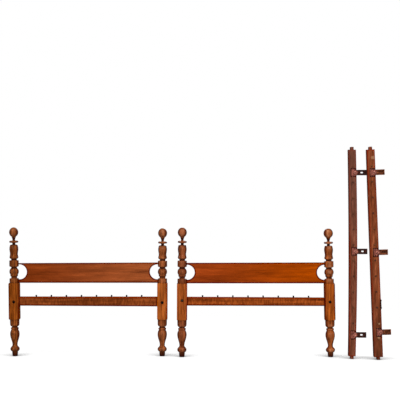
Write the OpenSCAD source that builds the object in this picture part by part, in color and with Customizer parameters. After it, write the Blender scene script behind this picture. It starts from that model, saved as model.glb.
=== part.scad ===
// Low-post bed with ball finials, taken apart: two end frames and two side rails.
// The ends stand side by side, outer faces to the front (-Y), and the side rails stand
// upright on their tenons to the right of them.
// Millimetres, +Z up, floor at Z = 0, +X along the row of sections.

/* [Layout] */
// Distance between the two posts of the head end, axis to axis
head_w = 1316; // [1000:1:1700]
// Distance between the two posts of the foot end, axis to axis
foot_w = 1305; // [1000:1:1700]
// Distance from the head end's right post to the foot end's left post, axis to axis
end_gap = 176; // [120:1:400]
// How far the head end stands behind the foot end
head_back = 50; // [0:1:150]
// Distance from the foot end's right post to the left side rail
rail_gap = 181; // [120:1:400]
// Distance between the feet of the two side rails
rail_pitch = 223; // [200:1:500]
// How far the left side rail stands in front of the foot end
left_rail_front = 103; // [90:1:300]
// How far the right side rail stands in front of the foot end
right_rail_front = 153; // [90:1:300]

/* [Post block] */
// Width of the square block on each post
block_w = 90; // [76:1:110]
// Length of the square block
block_h = 325; // [240:1:420]
// Radius to which the block's four long edges are eased
block_edge_r = 61; // [56:0.5:63]
// Height of the turned shoulder at each end of the block
shoulder_h = 13; // [4:1:30]
// Lean of the head end's left post, top towards the right
head_left_lean = -0.7; // [-1.5:0.1:1.5]
// Lean of the head end's right post, top towards the right
head_right_lean = 0.2; // [-1.5:0.1:1.5]
// Lean of the foot end's left post, top towards the right
foot_left_lean = 0.2; // [-1.5:0.1:1.5]
// Lean of the foot end's right post, top towards the right
foot_right_lean = -1.1; // [-1.5:0.1:1.5]

/* [Lower turning] */
// Diameter of the toe under the ball foot
toe_d = 52; // [40:1:70]
// Height of the toe
toe_h = 43; // [20:1:80]
// Diameter of the ball foot
foot_d = 82; // [70:1:100]
// Height of the ball foot
foot_h = 52; // [35:1:80]
// Diameter of the neck above the ball foot
ankle_d = 45; // [38:1:60]
// Largest diameter of the vase
vase_d = 84; // [70:1:100]
// Height of the vase
vase_h = 142; // [100:1:200]
// Diameter of the ring above the vase
ring_d = 71; // [60:1:90]
// Height of the ring
ring_h = 22; // [12:1:40]
// Diameter of the cup under the block
cup_d = 83; // [70:1:89]
// Height of the cup
cup_h = 67; // [40:1:110]

/* [Upper turning] */
// Diameter of the two drums that the panel is let into
drum_d = 83; // [70:1:89]
// Height of the lower drum, on top of the block
low_drum_h = 40; // [36:1:70]
// Diameter of the grooves beside the drums
groove_d = 50; // [42:1:60]
// Height of the groove above the lower drum
low_groove_h = 19; // [8:1:30]
// Diameter of the collar under the bead
collar_d = 67; // [56:1:80]
// Height of the collar
collar_h = 18; // [8:1:30]
// Diameter of the large bead between the drums
bead_d = 83; // [70:1:89]
// Height of the large bead
bead_h = 56; // [40:1:80]
// Height of the groove above the large bead
mid_groove_h = 11; // [8:1:30]
// Height of the upper drum
high_drum_h = 57; // [40:1:80]
// Height of the groove above the upper drum
high_groove_h = 14; // [8:1:30]
// Diameter of the bell under the finial
bell_d = 78; // [66:1:89]
// Diameter of the waist of the bell
waist_d = 68; // [58:1:80]
// Height of the bell
bell_h = 124; // [90:1:170]
// Diameter of the neck below the disc
stem_d = 26; // [22:1:44]
// Height of the neck below the disc
low_stem_h = 17; // [12:1:40]
// Diameter of the disc
disc_d = 80; // [66:1:89]
// Diameter of the disc's flat faces
disc_face_d = 54; // [36:1:60]
// Thickness of the disc
disc_h = 20; // [8:1:26]
// Smallest diameter of the neck above the disc
neck_d = 23; // [20:1:36]
// Diameter of that neck where it meets the ball
neck_top_d = 35; // [28:1:44]
// Height of the neck above the disc
high_stem_h = 30; // [24:1:60]
// Height of the ball finial, a little more than its width
ball_h = 88; // [70:1:100]
// Diameter of the ball finial
ball_d = 81; // [66:1:96]
// Diameter of the ball finial on the foot end's right post
last_ball_d = 83; // [66:1:96]
// How much lower the turning lies at the ball on the right post of each end
turning_drop = 8; // [0:1:14]

/* [Panels] */
// Height of the head panel at its left end
head_panel_h = 174; // [173:1:195]
// Height of the head panel at its right end
head_panel_right_h = 180; // [173:1:195]
// Height of the foot panel at its left end
foot_panel_h = 180; // [173:1:195]
// Height of the foot panel at its right end
foot_panel_right_h = 184; // [173:1:195]
// Thickness of both panels
panel_t = 27; // [18:1:34]
// Radius of the round cut-out at each end of a panel
cut_r = 67; // [55:1:68]
// Height of the cut-out's centre above the panel's lower edge
cut_up = 97; // [92:1:100]
// Thickness of the panel's tenons
panel_tenon_t = 13; // [8:1:16]
// Depth of the panel's tenons inside the post's drum
panel_tenon_in = 24; // [12:1:30]
// Shoulder left above and below each panel tenon
panel_tenon_step = 2; // [1:0.5:4]

/* [End rails] */
// Height of the side rails' mortises above the floor
rail_up = 488; // [440:1:530]
// Height of the head end's rail at its left end
head_rail_h = 76; // [62:1:90]
// Height of the head end's rail at its right end
head_rail_right_h = 82; // [62:1:90]
// How far the head end's rail lies above the mortises' middle at its left end
head_rail_rise = 1; // [-6:1:8]
// How far it lies above the mortises' middle at its right end
head_rail_right_rise = -3; // [-6:1:8]
// Height of the foot end's rail at its left end
foot_rail_h = 73; // [62:1:90]
// Height of the foot end's rail at its right end
foot_rail_right_h = 70; // [62:1:90]
// How far the foot end's rail lies above the mortises' middle at its left end
foot_rail_rise = 5; // [-6:1:8]
// How far it lies above the mortises' middle at its right end
foot_rail_right_rise = 0; // [-6:1:8]
// Depth of the end rails from front to back
rail_t = 70; // [50:1:86]
// Thickness of the end rails' tenons
rail_tenon_t = 24; // [16:1:30]
// Length of the end rails' tenons
rail_tenon_l = 31; // [20:1:32]
// Shoulder left above and below each end rail's tenon
rail_tenon_step = 6; // [3:1:9]
// Diameter of the pins that hold the end rails' tenons
pin_d = 9; // [6:0.5:11]
// Length of those pins
pin_l = 62; // [50:1:70]
// Distance of each pin above or below the rail's centre line
pin_off = 15; // [12:1:18]

/* [Side rails] */
// Length of a side rail between its shoulders
side_l = 1802; // [1500:1:2100]
// Depth of the side rails from front to back
side_t = 70; // [60:1:86]
// Face width of the left side rail at its foot
left_foot_w = 60; // [58:1:80]
// Face width of the left side rail half way up
left_mid_w = 68; // [60:1:80]
// Face width of the left side rail at its top
left_top_w = 65; // [58:1:80]
// Sideways bow of the left side rail
left_bow = 10; // [0:1:20]
// Face width of the right side rail at its foot
right_foot_w = 76; // [60:1:84]
// Face width of the right side rail half way up
right_mid_w = 74; // [60:1:84]
// Face width of the right side rail at its top
right_top_w = 68; // [60:1:84]
// Lean of the right side rail, top towards the left
right_lean = 2.2; // [0:0.1:3]
// Thickness of the side rails' tenons
side_tenon_t = 27; // [22:1:30]
// Depth of the side rails' tenons from front to back
side_tenon_w = 58; // [44:1:60]
// Length of the side rails' tenons
side_tenon_l = 25; // [16:1:28]

/* [Rope pegs] */
// Diameter of a rope peg's shank
peg_d = 12; // [9:0.5:15]
// Diameter of a rope peg's head
peg_head_d = 15; // [12:0.5:18]
// Height of a rope peg above the rail
peg_out = 17; // [12:1:26]
// Depth of a rope peg in the rail
peg_in = 28; // [18:1:34]
// Spacing of the rope pegs on the end rails
end_peg_pitch = 134; // [125:1:138]
// Number of rope pegs on each end rail
end_pegs = 8; // [6:1:8]
// How far the head end's row of rope pegs lies to the right of its middle
head_peg_shift = 5; // [-8:1:8]
// How far the foot end's row of rope pegs lies to the right of its middle
foot_peg_shift = -2; // [-8:1:8]
// Height of the lowest rope peg on the left side rail
left_peg_up = 315; // [305:1:330]
// Number of rope pegs on the left side rail
left_pegs = 11; // [8:1:11]
// Height of the lowest rope peg on the right side rail
right_peg_up = 184; // [165:1:188]
// Number of rope pegs on the right side rail
right_pegs = 12; // [8:1:12]
// Spacing of the rope pegs on the side rails
side_peg_pitch = 136.5; // [135:0.5:138]

/* [Bed bolts] */
// Diameter of a bed bolt's shank
bolt_d = 11; // [9:0.5:12]
// Length of a bed bolt under its head
bolt_l = 165; // [140:1:175]
// Width of a bed bolt's square head across its flats
bolt_head_w = 13.5; // [12:0.5:14.5]
// Thickness of a bed bolt's head
bolt_head_h = 10; // [6:1:14]
// Length of the threaded end of a bed bolt
thread_l = 40; // [20:1:60]
// Diameter of the counterbore in the post's outer face
counterbore_d = 22; // [21:0.5:24]
// Depth of the counterbore
counterbore_h = 22; // [16:1:26]
// Diameter of the washer under the head
washer_d = 20.5; // [18:0.5:20.5]
// Thickness of the washer
washer_t = 2.5; // [1.5:0.5:4]
// Height of the bolt hole in the head end's left post
head_left_hole = 485; // [475:1:500]
// Height of the bolt hole in the head end's right post
head_right_hole = 479; // [475:1:500]
// Height of the bolt hole in the foot end's left post
foot_left_hole = 502; // [475:1:504]
// Height of the bolt hole in the foot end's right post
foot_right_hole = 489; // [475:1:500]
// Width of the square nut in the side rail
nut_w = 20; // [17:0.5:24]
// Thickness of the nut
nut_t = 11; // [8:0.5:14]
// Distance from a side rail's shoulder to the middle of its nut
nut_in = 75; // [60:1:80]
// How far the bolt's bore runs on past its nut
bore_past = 36; // [24:1:60]

/* [Iron brackets] */
// Height of the low bracket on the left side rail
left_low_up = 212; // [190:1:240]
// Height of the middle bracket on the left side rail
mid_up = 940; // [930:1:945]
// Height of the middle bracket on the right side rail
right_mid_up = 933; // [928:1:945]
// Height of the high bracket on both side rails
high_up = 1627; // [1615:1:1636]
// Height of the low bracket on the right side rail
right_low_up = 240; // [234:1:256]
// Reach of the left rail's arms past its edge
left_reach = 87; // [80:1:88]
// Reach of the right rail's arms past its edge
right_reach = 77; // [70:1:120]
// Width of an arm across its lips
arm_w = 48; // [40:1:56]
// Thickness of an arm's web
arm_t = 4; // [3:0.5:6]
// Height of the lips above the web
lip_h = 8; // [4:0.5:14]
// Thickness of the lips
lip_t = 6; // [3:0.5:8]
// Thickness of a bracket's plate
plate_t = 4; // [3:0.5:6]
// Width of a plate from its back edge to the rail's edge
plate_w = 48; // [44:1:52]
// Height of a plate at its ears
plate_h = 72; // [66:1:80]
// Margin of the sinking around a plate
sink_margin = 3; // [1:0.5:6]
// Length of the slot through the left rail's arms
slot_l = 22; // [12:1:28]
// Width of the slot
slot_w = 12; // [8:1:16]
// Diameter of the large screw through plate and arm
boss_d = 32; // [24:1:38]
// Height of the large screw's head
boss_h = 4; // [2:0.5:6]
// Length of the large screw under its head
boss_l = 30; // [20:1:50]
// Diameter of the small screws in the plate's ears
screw_d = 10; // [8:0.5:12]
// Length of the small screws under their heads
screw_l = 26; // [16:1:40]
// Height of the small screws' heads
screw_h = 2.5; // [1.5:0.5:4]
// Diameter of the two rivets in each of the left rail's arms
rivet_d = 4; // [3:0.5:5]
// Diameter of the rivets' heads
rivet_head_d = 8; // [6:0.5:10]
// Height of the rivets' heads
rivet_head_h = 2; // [1:0.5:3]

/* [Edge plate] */
// Height of the small iron plate on the right side rail's edge
edge_plate_up = 480; // [460:1:495]
// Length of the edge plate
edge_plate_l = 82; // [60:1:90]
// Width of the edge plate
edge_plate_w = 20; // [14:1:30]
// Thickness of the edge plate
edge_plate_t = 7.5; // [2:0.5:8]
// Diameter of its two screw heads
stud_d = 14; // [10:1:18]
// Height of those heads above the plate
stud_h = 5; // [2:0.5:9]
// Length of those screws inside the rail
stud_l = 20; // [12:1:26]
// Diameter of their shanks
stud_shank_d = 5; // [4:0.5:7]

/* [Fits] */
// Clearance of fixed wooden and iron fits
fit = 0.2; // [0.1:0.05:0.5]
// Clearance around a bed bolt
bolt_fit = 0.5; // [0.4:0.05:1]
// Clearance of the side rail's tenon in its mortise
mortise_fit = 1; // [0.5:0.1:1.5]
// Least gap between the left rail's arms and the right rail
arm_clear = 0.3; // [0.3:0.1:2]

/* [Hidden] */
$fn = 64;

// Overshoot of cutting solids
over = 1;
// Extra length under a toe, sawn off level with the floor
toe_trim = 2;
// Length by which a tenon runs on into its own rail or panel
tenon_root = 12;
// Radius of the turning where the block hides it
core_r = block_w / 2 - 6;
// Fineness of the computed curves
steps = 4;

// Heights of the turned members, one on top of the other
z_foot = toe_h;
z_vase = z_foot + foot_h;
z_ring = z_vase + vase_h;
z_cup = z_ring + ring_h;
z_block = z_cup + cup_h;
z_low_drum = z_block + block_h;
z_low_groove = z_low_drum + low_drum_h;
z_collar = z_low_groove + low_groove_h;
z_bead = z_collar + collar_h;
z_mid_groove = z_bead + bead_h;
z_high_drum = z_mid_groove + mid_groove_h;
z_high_groove = z_high_drum + high_drum_h;
z_bell = z_high_groove + high_groove_h;
z_low_stem = z_bell + bell_h;
z_disc = z_low_stem + low_stem_h;
z_high_stem = z_disc + disc_h;
z_ball = z_high_stem + high_stem_h;

// Places of the posts along X before centring, and the rails' places
x_head_right = head_w;
x_foot_left = x_head_right + end_gap;
x_foot_right = x_foot_left + foot_w;
x_left_rail = x_foot_right + rail_gap;
// The right side rail keeps clear of the left one's arms, where it leans towards them
function arm_pitch(z) = side_edge(z, 0) + left_reach + arm_clear
  + side_half(z, 1) / cos(right_lean) + (z + arm_w / 2) * tan(right_lean);
x_right_rail = x_left_rail
  + max(rail_pitch, arm_pitch(left_low_up), arm_pitch(mid_up), arm_pitch(high_up));

// Depths of the bolt and its seat, from the post's axis
seat_y = -block_w / 2 + counterbore_h;
bolt_bore_r = bolt_d / 2 + bolt_fit;
side_mortise_l = side_tenon_l + mortise_fit;
bolt_tip_y = seat_y - washer_t + bolt_l;
rope_y = side_t / 2 + peg_out;

// Reach of the whole row, so that the origin lies under its middle
rail_lift = side_tenon_t / 2 * sin(right_lean);
ball_reach = (z_ball + ball_h / 2 - rail_up) * sin(-head_left_lean) + ball_d / 2;
block_reach = block_w / 2 * cos(head_left_lean)
  + max(z_low_drum - shoulder_h - rail_up, 0) * sin(-head_left_lean);
x_low = -max(ball_reach, block_reach);
low_arm_tip = side_edge(right_low_up, 1) + right_reach;
x_high = x_right_rail + low_arm_tip * cos(right_lean)
  - (right_low_up - arm_w / 2) * sin(right_lean);
y_low = -max(left_rail_front, right_rail_front) - rope_y;
y_high = head_back + bolt_tip_y;
origin = [-(x_low + x_high) / 2, -(y_low + y_high) / 2, 0];

// Each post: x, y, lean, ball diameter, drop of its turning, side of its end rail, bolt height
POSTS = [
  [0, head_back, head_left_lean, ball_d, 0, 1, head_left_hole],
  [x_head_right, head_back, head_right_lean, ball_d, turning_drop, -1, head_right_hole],
  [x_foot_left, 0, foot_left_lean, ball_d, 0, 1, foot_left_hole],
  [x_foot_right, 0, foot_right_lean, last_ball_d, turning_drop, -1, foot_right_hole]
];

// Lower edge of the panel of end 0 or 1, seated on the higher of its two blocks
function block_rise(i) = -POSTS[i][5] * block_w / 2 * sin(POSTS[i][2]);
function panel_seat(i, j) = z_low_drum + fit + max(0, block_rise(i), block_rise(j));
PANEL_Z = [panel_seat(0, 1), panel_seat(2, 3)];
// Each end: heights of its panel and of its rail, and the rail's rise, at the left and the right end
PANEL_H = [[head_panel_h, head_panel_right_h], [foot_panel_h, foot_panel_right_h]];
RAIL_H = [[head_rail_h, head_rail_right_h], [foot_rail_h, foot_rail_right_h]];
RAIL_RISE = [[head_rail_rise, head_rail_right_rise], [foot_rail_rise, foot_rail_right_rise]];
PEG_SHIFT = [head_peg_shift, foot_peg_shift];
// End that post i belongs to, and its side there: 0 left, 1 right
function end_of(i) = floor(i / 2);
function hand(i) = i % 2;
// Lower and upper edge of the end rail at post i
function rail_low(i) = rail_up + RAIL_RISE[end_of(i)][hand(i)] - RAIL_H[end_of(i)][hand(i)] / 2;
function rail_top(i) = rail_low(i) + RAIL_H[end_of(i)][hand(i)];

// Points [r, z] of a swelling between two radii: k lists height and swell as fractions
function swell(z, h, ra, rb, k) = [for (p = k) [ra + (rb - ra) * p[1], z + h * p[0]]];
// One coordinate of the smooth curve between b and c
function blend4(a, b, c, d, t) = 0.5 * (2 * b + (c - a) * t
  + (2 * a - 5 * b + 4 * c - d) * t * t + (3 * b - a - 3 * c + d) * t * t * t);
// Smooth curve through the points p
function smooth(p) = concat([
  for (i = [0 : len(p) - 2])
    for (s = [0 : steps - 1])
      let (t = s / steps, a = p[max(i - 1, 0)], b = p[i], c = p[i + 1], d = p[min(i + 2, len(p) - 1)])
        [blend4(a[0], b[0], c[0], d[0], t), blend4(a[1], b[1], c[1], d[1], t)]
], [p[len(p) - 1]]);
// Arc of an ellipse with its centre on the axis, from angle a0 to a1
function ball_arc(z, r, h, a0, a1, n) = [
  for (i = [0 : n])
    let (a = a0 + (a1 - a0) * i / n) [r * cos(a), z + h / 2 * sin(a)]
];
// Share of a post's drop at height z: none at the floor and the block, all of it at the ball
function drop_share(z) = z < z_block ? 0.5 * sin(180 * max(z, 0) / z_block)
  : min(max(z - z_low_drum, 0) / (z_ball - z_low_drum), 1);
function dropped(points, drop) = [for (p = points) [p[0], p[1] - drop * drop_share(p[1])]];

// Turned outline of the post below and inside the block
lower_outline = concat(
  [[0, -toe_trim]],
  smooth([[toe_d / 2 - 6, -toe_trim], [toe_d / 2 - 2, toe_h * 0.2], [toe_d / 2, toe_h]]),
  smooth(swell(z_foot, foot_h, ankle_d / 2, foot_d / 2,
    [[0.02, 0.45], [0.18, 0.85], [0.45, 1], [0.66, 0.78], [0.84, 0.33], [1, 0]])),
  smooth(swell(z_vase, vase_h, ankle_d / 2, vase_d / 2,
    [[0.05, 0], [0.15, 0.06], [0.3, 0.33], [0.5, 0.77], [0.7, 1], [0.88, 0.84], [0.97, 0.5]])),
  [[ring_d / 2 - 4, z_ring]],
  smooth(swell(z_ring, ring_h, ring_d / 2 - 4, ring_d / 2, [[0.1, 0], [0.45, 1], [0.8, 0]])),
  [[groove_d / 2, z_cup], [groove_d / 2, z_cup + 6]],
  smooth(swell(z_cup, cup_h, groove_d / 2, cup_d / 2,
    [[0.1, 0.42], [0.18, 0.72], [0.3, 0.94], [0.5, 0.99], [1, 1]])),
  [[core_r, z_block], [core_r, z_low_drum]]
);
// Turned outline of the post above the block, up to the neck under the ball
upper_outline = concat(
  [[drum_d / 2, z_low_drum], [drum_d / 2, z_low_groove - 3], [drum_d / 2 - 2, z_low_groove]],
  [[groove_d / 2 + 1, z_low_groove + 3], [groove_d / 2 + 1, z_collar - 2]],
  [[collar_d / 2 - 1, z_collar], [collar_d / 2, z_collar + 4], [collar_d / 2, z_bead - 2]],
  smooth(swell(z_bead, bead_h, groove_d / 2, bead_d / 2,
    [[0, 0.55], [0.18, 0.9], [0.42, 1], [0.66, 0.86], [0.86, 0.5], [1, 0.05]])),
  [[groove_d / 2, z_mid_groove], [groove_d / 2, z_high_drum - 3]],
  [[drum_d / 2 - 5, z_high_drum], [drum_d / 2, z_high_drum + 5], [drum_d / 2, z_high_groove - 3]],
  [[drum_d / 2 - 4, z_high_groove], [groove_d / 2, z_high_groove + 2], [groove_d / 2, z_bell - 2]],
  smooth(swell(z_bell, bell_h, waist_d / 2, bell_d / 2,
    [[0, -0.4], [0.06, 0.8], [0.12, 1], [0.22, 0.4], [0.34, 0], [0.48, 0.4], [0.62, 0.95],
     [0.75, 1], [0.87, 0.55], [0.96, 0], [1, -0.7]])),
  [[stem_d / 2 + 2, z_low_stem], [stem_d / 2, z_low_stem + 6], [stem_d / 2 + 2, z_disc]],
  smooth(swell(z_disc, disc_h, disc_face_d / 2, disc_d / 2,
    [[0, 0], [0.06, 0.45], [0.18, 0.85], [0.5, 1], [0.82, 0.85], [0.94, 0.45], [1, 0]]))
);
// Neck above the disc, wider towards the ball, and the ball, for a ball of diameter d
function top_outline(d) = concat(
  smooth(swell(z_high_stem, high_stem_h, neck_d / 2, neck_top_d / 2,
    [[0, 0.3], [0.2, 0], [0.4, 0.1], [0.68, 0.5], [0.96, 1]])),
  ball_arc(z_ball + ball_h / 2, d / 2, ball_h, -61, 90, 20)
);
// Turned shoulders and eased edges that the block is cut to
block_outline = concat(
  [[0, z_block]],
  [for (a = [0 : 15 : 90]) [block_w / 2 - 2 + (block_edge_r - block_w / 2 + 2) * sin(a),
    z_block + shoulder_h * (1 - cos(a))]],
  [for (a = [90 : -15 : 0]) [block_w / 2 - 2 + (block_edge_r - block_w / 2 + 2) * sin(a),
    z_low_drum - shoulder_h * (1 - cos(a))]],
  [[0, z_low_drum]]
);

// Centre and edges of a side rail's face: side 0 is the left rail, 1 the right
function quad3(a, b, c, t) = a * (1 - t) * (1 - 2 * t) + 4 * b * t * (1 - t) + c * t * (2 * t - 1);
function side_t_at(z) = (z - side_tenon_l) / side_l;
function side_mid(z, side) = side == 0 ? 4 * left_bow * side_t_at(z) * (1 - side_t_at(z)) : 0;
function side_half(z, side) = side == 0
  ? quad3(left_foot_w, left_mid_w, left_top_w, side_t_at(z)) / 2
  : quad3(right_foot_w, right_mid_w, right_top_w, side_t_at(z)) / 2;
function side_edge(z, side) = side_mid(z, side) + side_half(z, side);

// Least distance between a rope peg and a bracket's middle
peg_clear = plate_h / 2 + sink_margin + peg_head_d / 2 + fit;
// Height of side rail peg k, moved on where it would meet a bracket
function peg_z(k, side) =
  let (z = (side == 0 ? left_peg_up : right_peg_up) + k * side_peg_pitch,
    met = [for (b = bracket_heights(side)) if (abs(z - b) < peg_clear) b])
  len(met) == 0 ? z : met[0] + (z < met[0] ? -peg_clear : peg_clear);
// Depth of an arm's underside below the rail's face, and radius of a plate's nose
arm_floor = plate_t + arm_t;
nose_r = arm_w / 2;
// Distances of the large and the small screws from the rail's edge and the bracket's middle
boss_in = 13;
screw_in = 30;
ear_off = plate_h / 2 - 6;
// Large screw's shank, width of a small screw's kerf, and middle of an arm's slot
boss_shank_d = boss_d / 3;
kerf = 1.5;
slot_x = left_reach / 2 + 2;
// Where the small plate lies against the right rail's edge
edge_seat = max(side_edge(edge_plate_up - edge_plate_l / 2, 1),
  side_edge(edge_plate_up + edge_plate_l / 2, 1)) + 0.05;

// Moves a post's own frame to its place, leaning about the rail's height
module at_post(i) {
  translate(origin + [POSTS[i][0], POSTS[i][1], rail_up])
    rotate([0, POSTS[i][2], 0])
      translate([0, 0, -rail_up])
        children();
}

// Moves to a post's foot without its lean
module beside_post(i) {
  translate(origin + [POSTS[i][0], POSTS[i][1], 0])
    children();
}

// Moves a side rail's own frame to its place
module at_side(side) {
  if (side == 0)
    translate(origin + [x_left_rail, -left_rail_front, 0])
      children();
  else
    translate(origin + [x_right_rail, -right_rail_front, rail_lift])
      rotate([0, -right_lean, 0])
        children();
}

// Box of an end rail's tenon in the post's place, reaching towards its end rail
module rail_tenon(i, gap) {
  dir = POSTS[i][5];
  x0 = block_w / 2 - rail_tenon_l - gap;
  z0 = rail_low(i) + rail_tenon_step - gap;
  beside_post(i)
    translate([dir > 0 ? x0 : -x0 - rail_tenon_l - tenon_root, -rail_tenon_t / 2 - gap, z0])
      cube([rail_tenon_l + tenon_root, rail_tenon_t + 2 * gap, rail_top(i) - rail_tenon_step + gap - z0]);
}

// Boxes of a panel's two tenons in the post's drums
module panel_tenons(i, gap) {
  dir = POSTS[i][5];
  h = PANEL_H[end_of(i)][hand(i)];
  x0 = drum_d / 2 - panel_tenon_in - gap;
  z0 = PANEL_Z[end_of(i)] + panel_tenon_step;
  low_h = cut_up - cut_r - 2 * panel_tenon_step;
  top_h = h - cut_up - cut_r - 2 * panel_tenon_step;
  beside_post(i)
    for (part = [[z0, low_h], [z0 + cut_up + cut_r, top_h]])
      translate([dir > 0 ? x0 : -x0 - panel_tenon_in - tenon_root, -panel_tenon_t / 2 - gap, part[0] - gap])
        cube([panel_tenon_in + tenon_root, panel_tenon_t + 2 * gap, part[1] + 2 * gap]);
}

// Turned post i with its block and joints
module post(i) {
  p = POSTS[i];
  difference() {
    at_post(i)
      union() {
        rotate_extrude()
          polygon(dropped(concat(lower_outline, upper_outline, top_outline(p[3])), p[4]));
        intersection() {
          translate([-block_w / 2, -block_w / 2, z_block])
            cube([block_w, block_w, block_h]);
          rotate_extrude()
            polygon(block_outline);
        }
      }
    beside_post(i) {
      translate([-foot_d, -foot_d, -2 * toe_trim])
        cube([2 * foot_d, 2 * foot_d, 2 * toe_trim]);
      translate([0, -block_w, p[6]])
        rotate([-90, 0, 0])
          cylinder(r = bolt_bore_r, h = 2 * block_w);
      translate([0, seat_y, p[6]])
        rotate([90, 0, 0])
          cylinder(d = counterbore_d, h = block_w);
      translate([-side_tenon_t / 2 - mortise_fit, block_w / 2 - side_mortise_l,
        rail_up - side_tenon_w / 2 - mortise_fit])
        cube([side_tenon_t + 2 * mortise_fit, block_w, side_tenon_w + 2 * mortise_fit]);
    }
    rail_tenon(i, fit);
    panel_tenons(i, fit);
    draw_pins(i, fit);
  }
}

// The two pins through the rail's tenon in post i, driven in from the back
module draw_pins(i, gap) {
  dir = POSTS[i][5];
  beside_post(i)
    for (s = [-1, 1])
      translate([dir * (block_w / 2 - rail_tenon_l / 2), block_w / 2 - pin_l - gap, rail_up + s * pin_off])
        rotate([-90, 0, 0])
          cylinder(d = pin_d + 2 * gap, h = pin_l + 2 * gap - (gap > 0 ? 0 : 0.3));
}

// Sideways shift of a leaning post's face at height z
function lean_shift(i, z) = (z - rail_up) * tan(POSTS[i][2]);

// End rail between posts i and j, with its tenons
module end_rail(i, j) {
  xi = POSTS[i][0] + block_w / 2 / cos(POSTS[i][2]) + fit;
  xj = POSTS[j][0] - block_w / 2 / cos(POSTS[j][2]) - fit;
  difference() {
    union() {
      translate(origin + [0, POSTS[i][1] + rail_t / 2, 0])
        rotate([90, 0, 0])
          linear_extrude(rail_t)
            polygon([
              [xi + lean_shift(i, rail_low(i)), rail_low(i)], [xj + lean_shift(j, rail_low(j)), rail_low(j)],
              [xj + lean_shift(j, rail_top(j)), rail_top(j)], [xi + lean_shift(i, rail_top(i)), rail_top(i)]]);
      rail_tenon(i, 0);
      rail_tenon(j, 0);
    }
    end_pegs(i, j, fit);
    draw_pins(i, fit);
    draw_pins(j, fit);
  }
}

// Rope pegs standing on the end rail between posts i and j
module end_pegs(i, j, gap) {
  span = POSTS[j][0] - POSTS[i][0];
  for (k = [0 : end_pegs - 1]) {
    x = span / 2 + PEG_SHIFT[end_of(i)] + (k - (end_pegs - 1) / 2) * end_peg_pitch;
    translate(origin + [POSTS[i][0] + x, POSTS[i][1], rail_top(i) + (rail_top(j) - rail_top(i)) * x / span])
      rope_peg(gap);
  }
}

// One rope peg along +Z, or the hole for it when gap is above 0
module rope_peg(gap) {
  if (gap > 0)
    translate([0, 0, -peg_in - gap])
      cylinder(d = peg_d + 2 * gap, h = peg_in + gap + over);
  else
    rotate_extrude()
      polygon(concat([[0, -peg_in], [peg_d / 2, -peg_in], [peg_d / 2, peg_out * 0.35]],
        smooth([[peg_head_d / 2 - 0.6, peg_out * 0.6], [peg_head_d / 2, peg_out * 0.75],
          [peg_head_d / 2 - 1.5, peg_out * 0.94], [0, peg_out]])));
}

// Panel between posts i and j, with round cut-outs at its ends
module panel(i, j) {
  z0 = PANEL_Z[end_of(i)];
  h = PANEL_H[end_of(i)];
  difference() {
    translate(origin + [0, POSTS[i][1] + panel_t / 2, 0])
      rotate([90, 0, 0])
        linear_extrude(panel_t)
          polygon([[POSTS[i][0], z0], [POSTS[j][0], z0], [POSTS[j][0], z0 + h[1]], [POSTS[i][0], z0 + h[0]]]);
    for (p = [i, j]) {
      beside_post(p)
        translate([POSTS[p][5] * block_w / 2, -panel_t, z0 + cut_up])
          rotate([-90, 0, 0])
            cylinder(r = cut_r, h = 2 * panel_t);
      at_post(p)
        translate([0, 0, z_low_drum - panel_t])
          cylinder(d = drum_d + 2 * fit, h = 2 * max(h));
    }
  }
  panel_tenons(i, 0);
  panel_tenons(j, 0);
}

// Face outline of a side rail without its tenons
module side_face(side) {
  n = 16;
  zs = [for (k = [0 : n]) side_tenon_l + side_l * k / n];
  polygon(concat(
    [for (z = zs) [side_edge(z, side), z]],
    [for (k = [n : -1 : 0]) [side_mid(zs[k], side) - side_half(zs[k], side), zs[k]]]));
}

// Side rail with its two tenons, bolt bores, nut pockets, peg holes and sinkings
module side_rail(side) {
  total = side_l + 2 * side_tenon_l;
  at_side(side)
    difference() {
      union() {
        translate([0, side_t / 2, 0])
          rotate([90, 0, 0])
            linear_extrude(side_t)
              side_face(side);
        for (z = [0, total - side_tenon_l - over])
          translate([-side_tenon_t / 2, -side_tenon_w / 2, z])
            cube([side_tenon_t, side_tenon_w, side_tenon_l + over]);
      }
      for (k = [0, 1]) {
        z0 = k == 0 ? 0 : total;
        s = k == 0 ? 1 : -1;
        depth = side_tenon_l + nut_in + bore_past;
        nz = z0 + s * (side_tenon_l + nut_in);
        translate([0, 0, k == 0 ? -over : total - depth])
          cylinder(r = bolt_bore_r, h = depth + over);
        translate([-nut_w / 2 - fit, -nut_w / 2 - fit, nz - nut_t / 2 - fit])
          cube([side_t, nut_w + 2 * fit, nut_t + 2 * fit]);
      }
      side_pegs(side, fit);
      for (z = bracket_heights(side))
        at_bracket(z, side)
          sinking();
      bracket_screws(side, fit);
      boss_screws(side, fit);
      if (side == 1)
        edge_studs(fit);
    }
}

function bracket_heights(side) = side == 0 ? [left_low_up, mid_up, high_up] : [right_low_up, right_mid_up, high_up];

// Rope pegs along a side rail's front face
module side_pegs(side, gap) {
  count = side == 0 ? left_pegs : right_pegs;
  for (k = [0 : count - 1])
    translate([side_mid(peg_z(k, side), side), -side_t / 2, peg_z(k, side)])
      rotate([90, 0, 0])
        rope_peg(gap);
}

// Bracket frame: origin on the rail's edge, +X out of the edge, +Y up the rail, +Z out of the face
module at_bracket(z, side) {
  translate([side_edge(z, side), -side_t / 2, z])
    rotate([90, 0, 0])
      children();
}

// Wood cut away for a bracket: shallow for the plate, deeper for the arm's root
module sinking() {
  w = plate_w + sink_margin;
  h = plate_h + 2 * sink_margin;
  translate([-w, -h / 2, -plate_t])
    cube([w + side_t, h, plate_t + over]);
  translate([-boss_in - boss_d / 2, -arm_w / 2 - fit, -arm_floor])
    cube([boss_d + side_t, arm_w + 2 * fit, arm_floor]);
}

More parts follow.
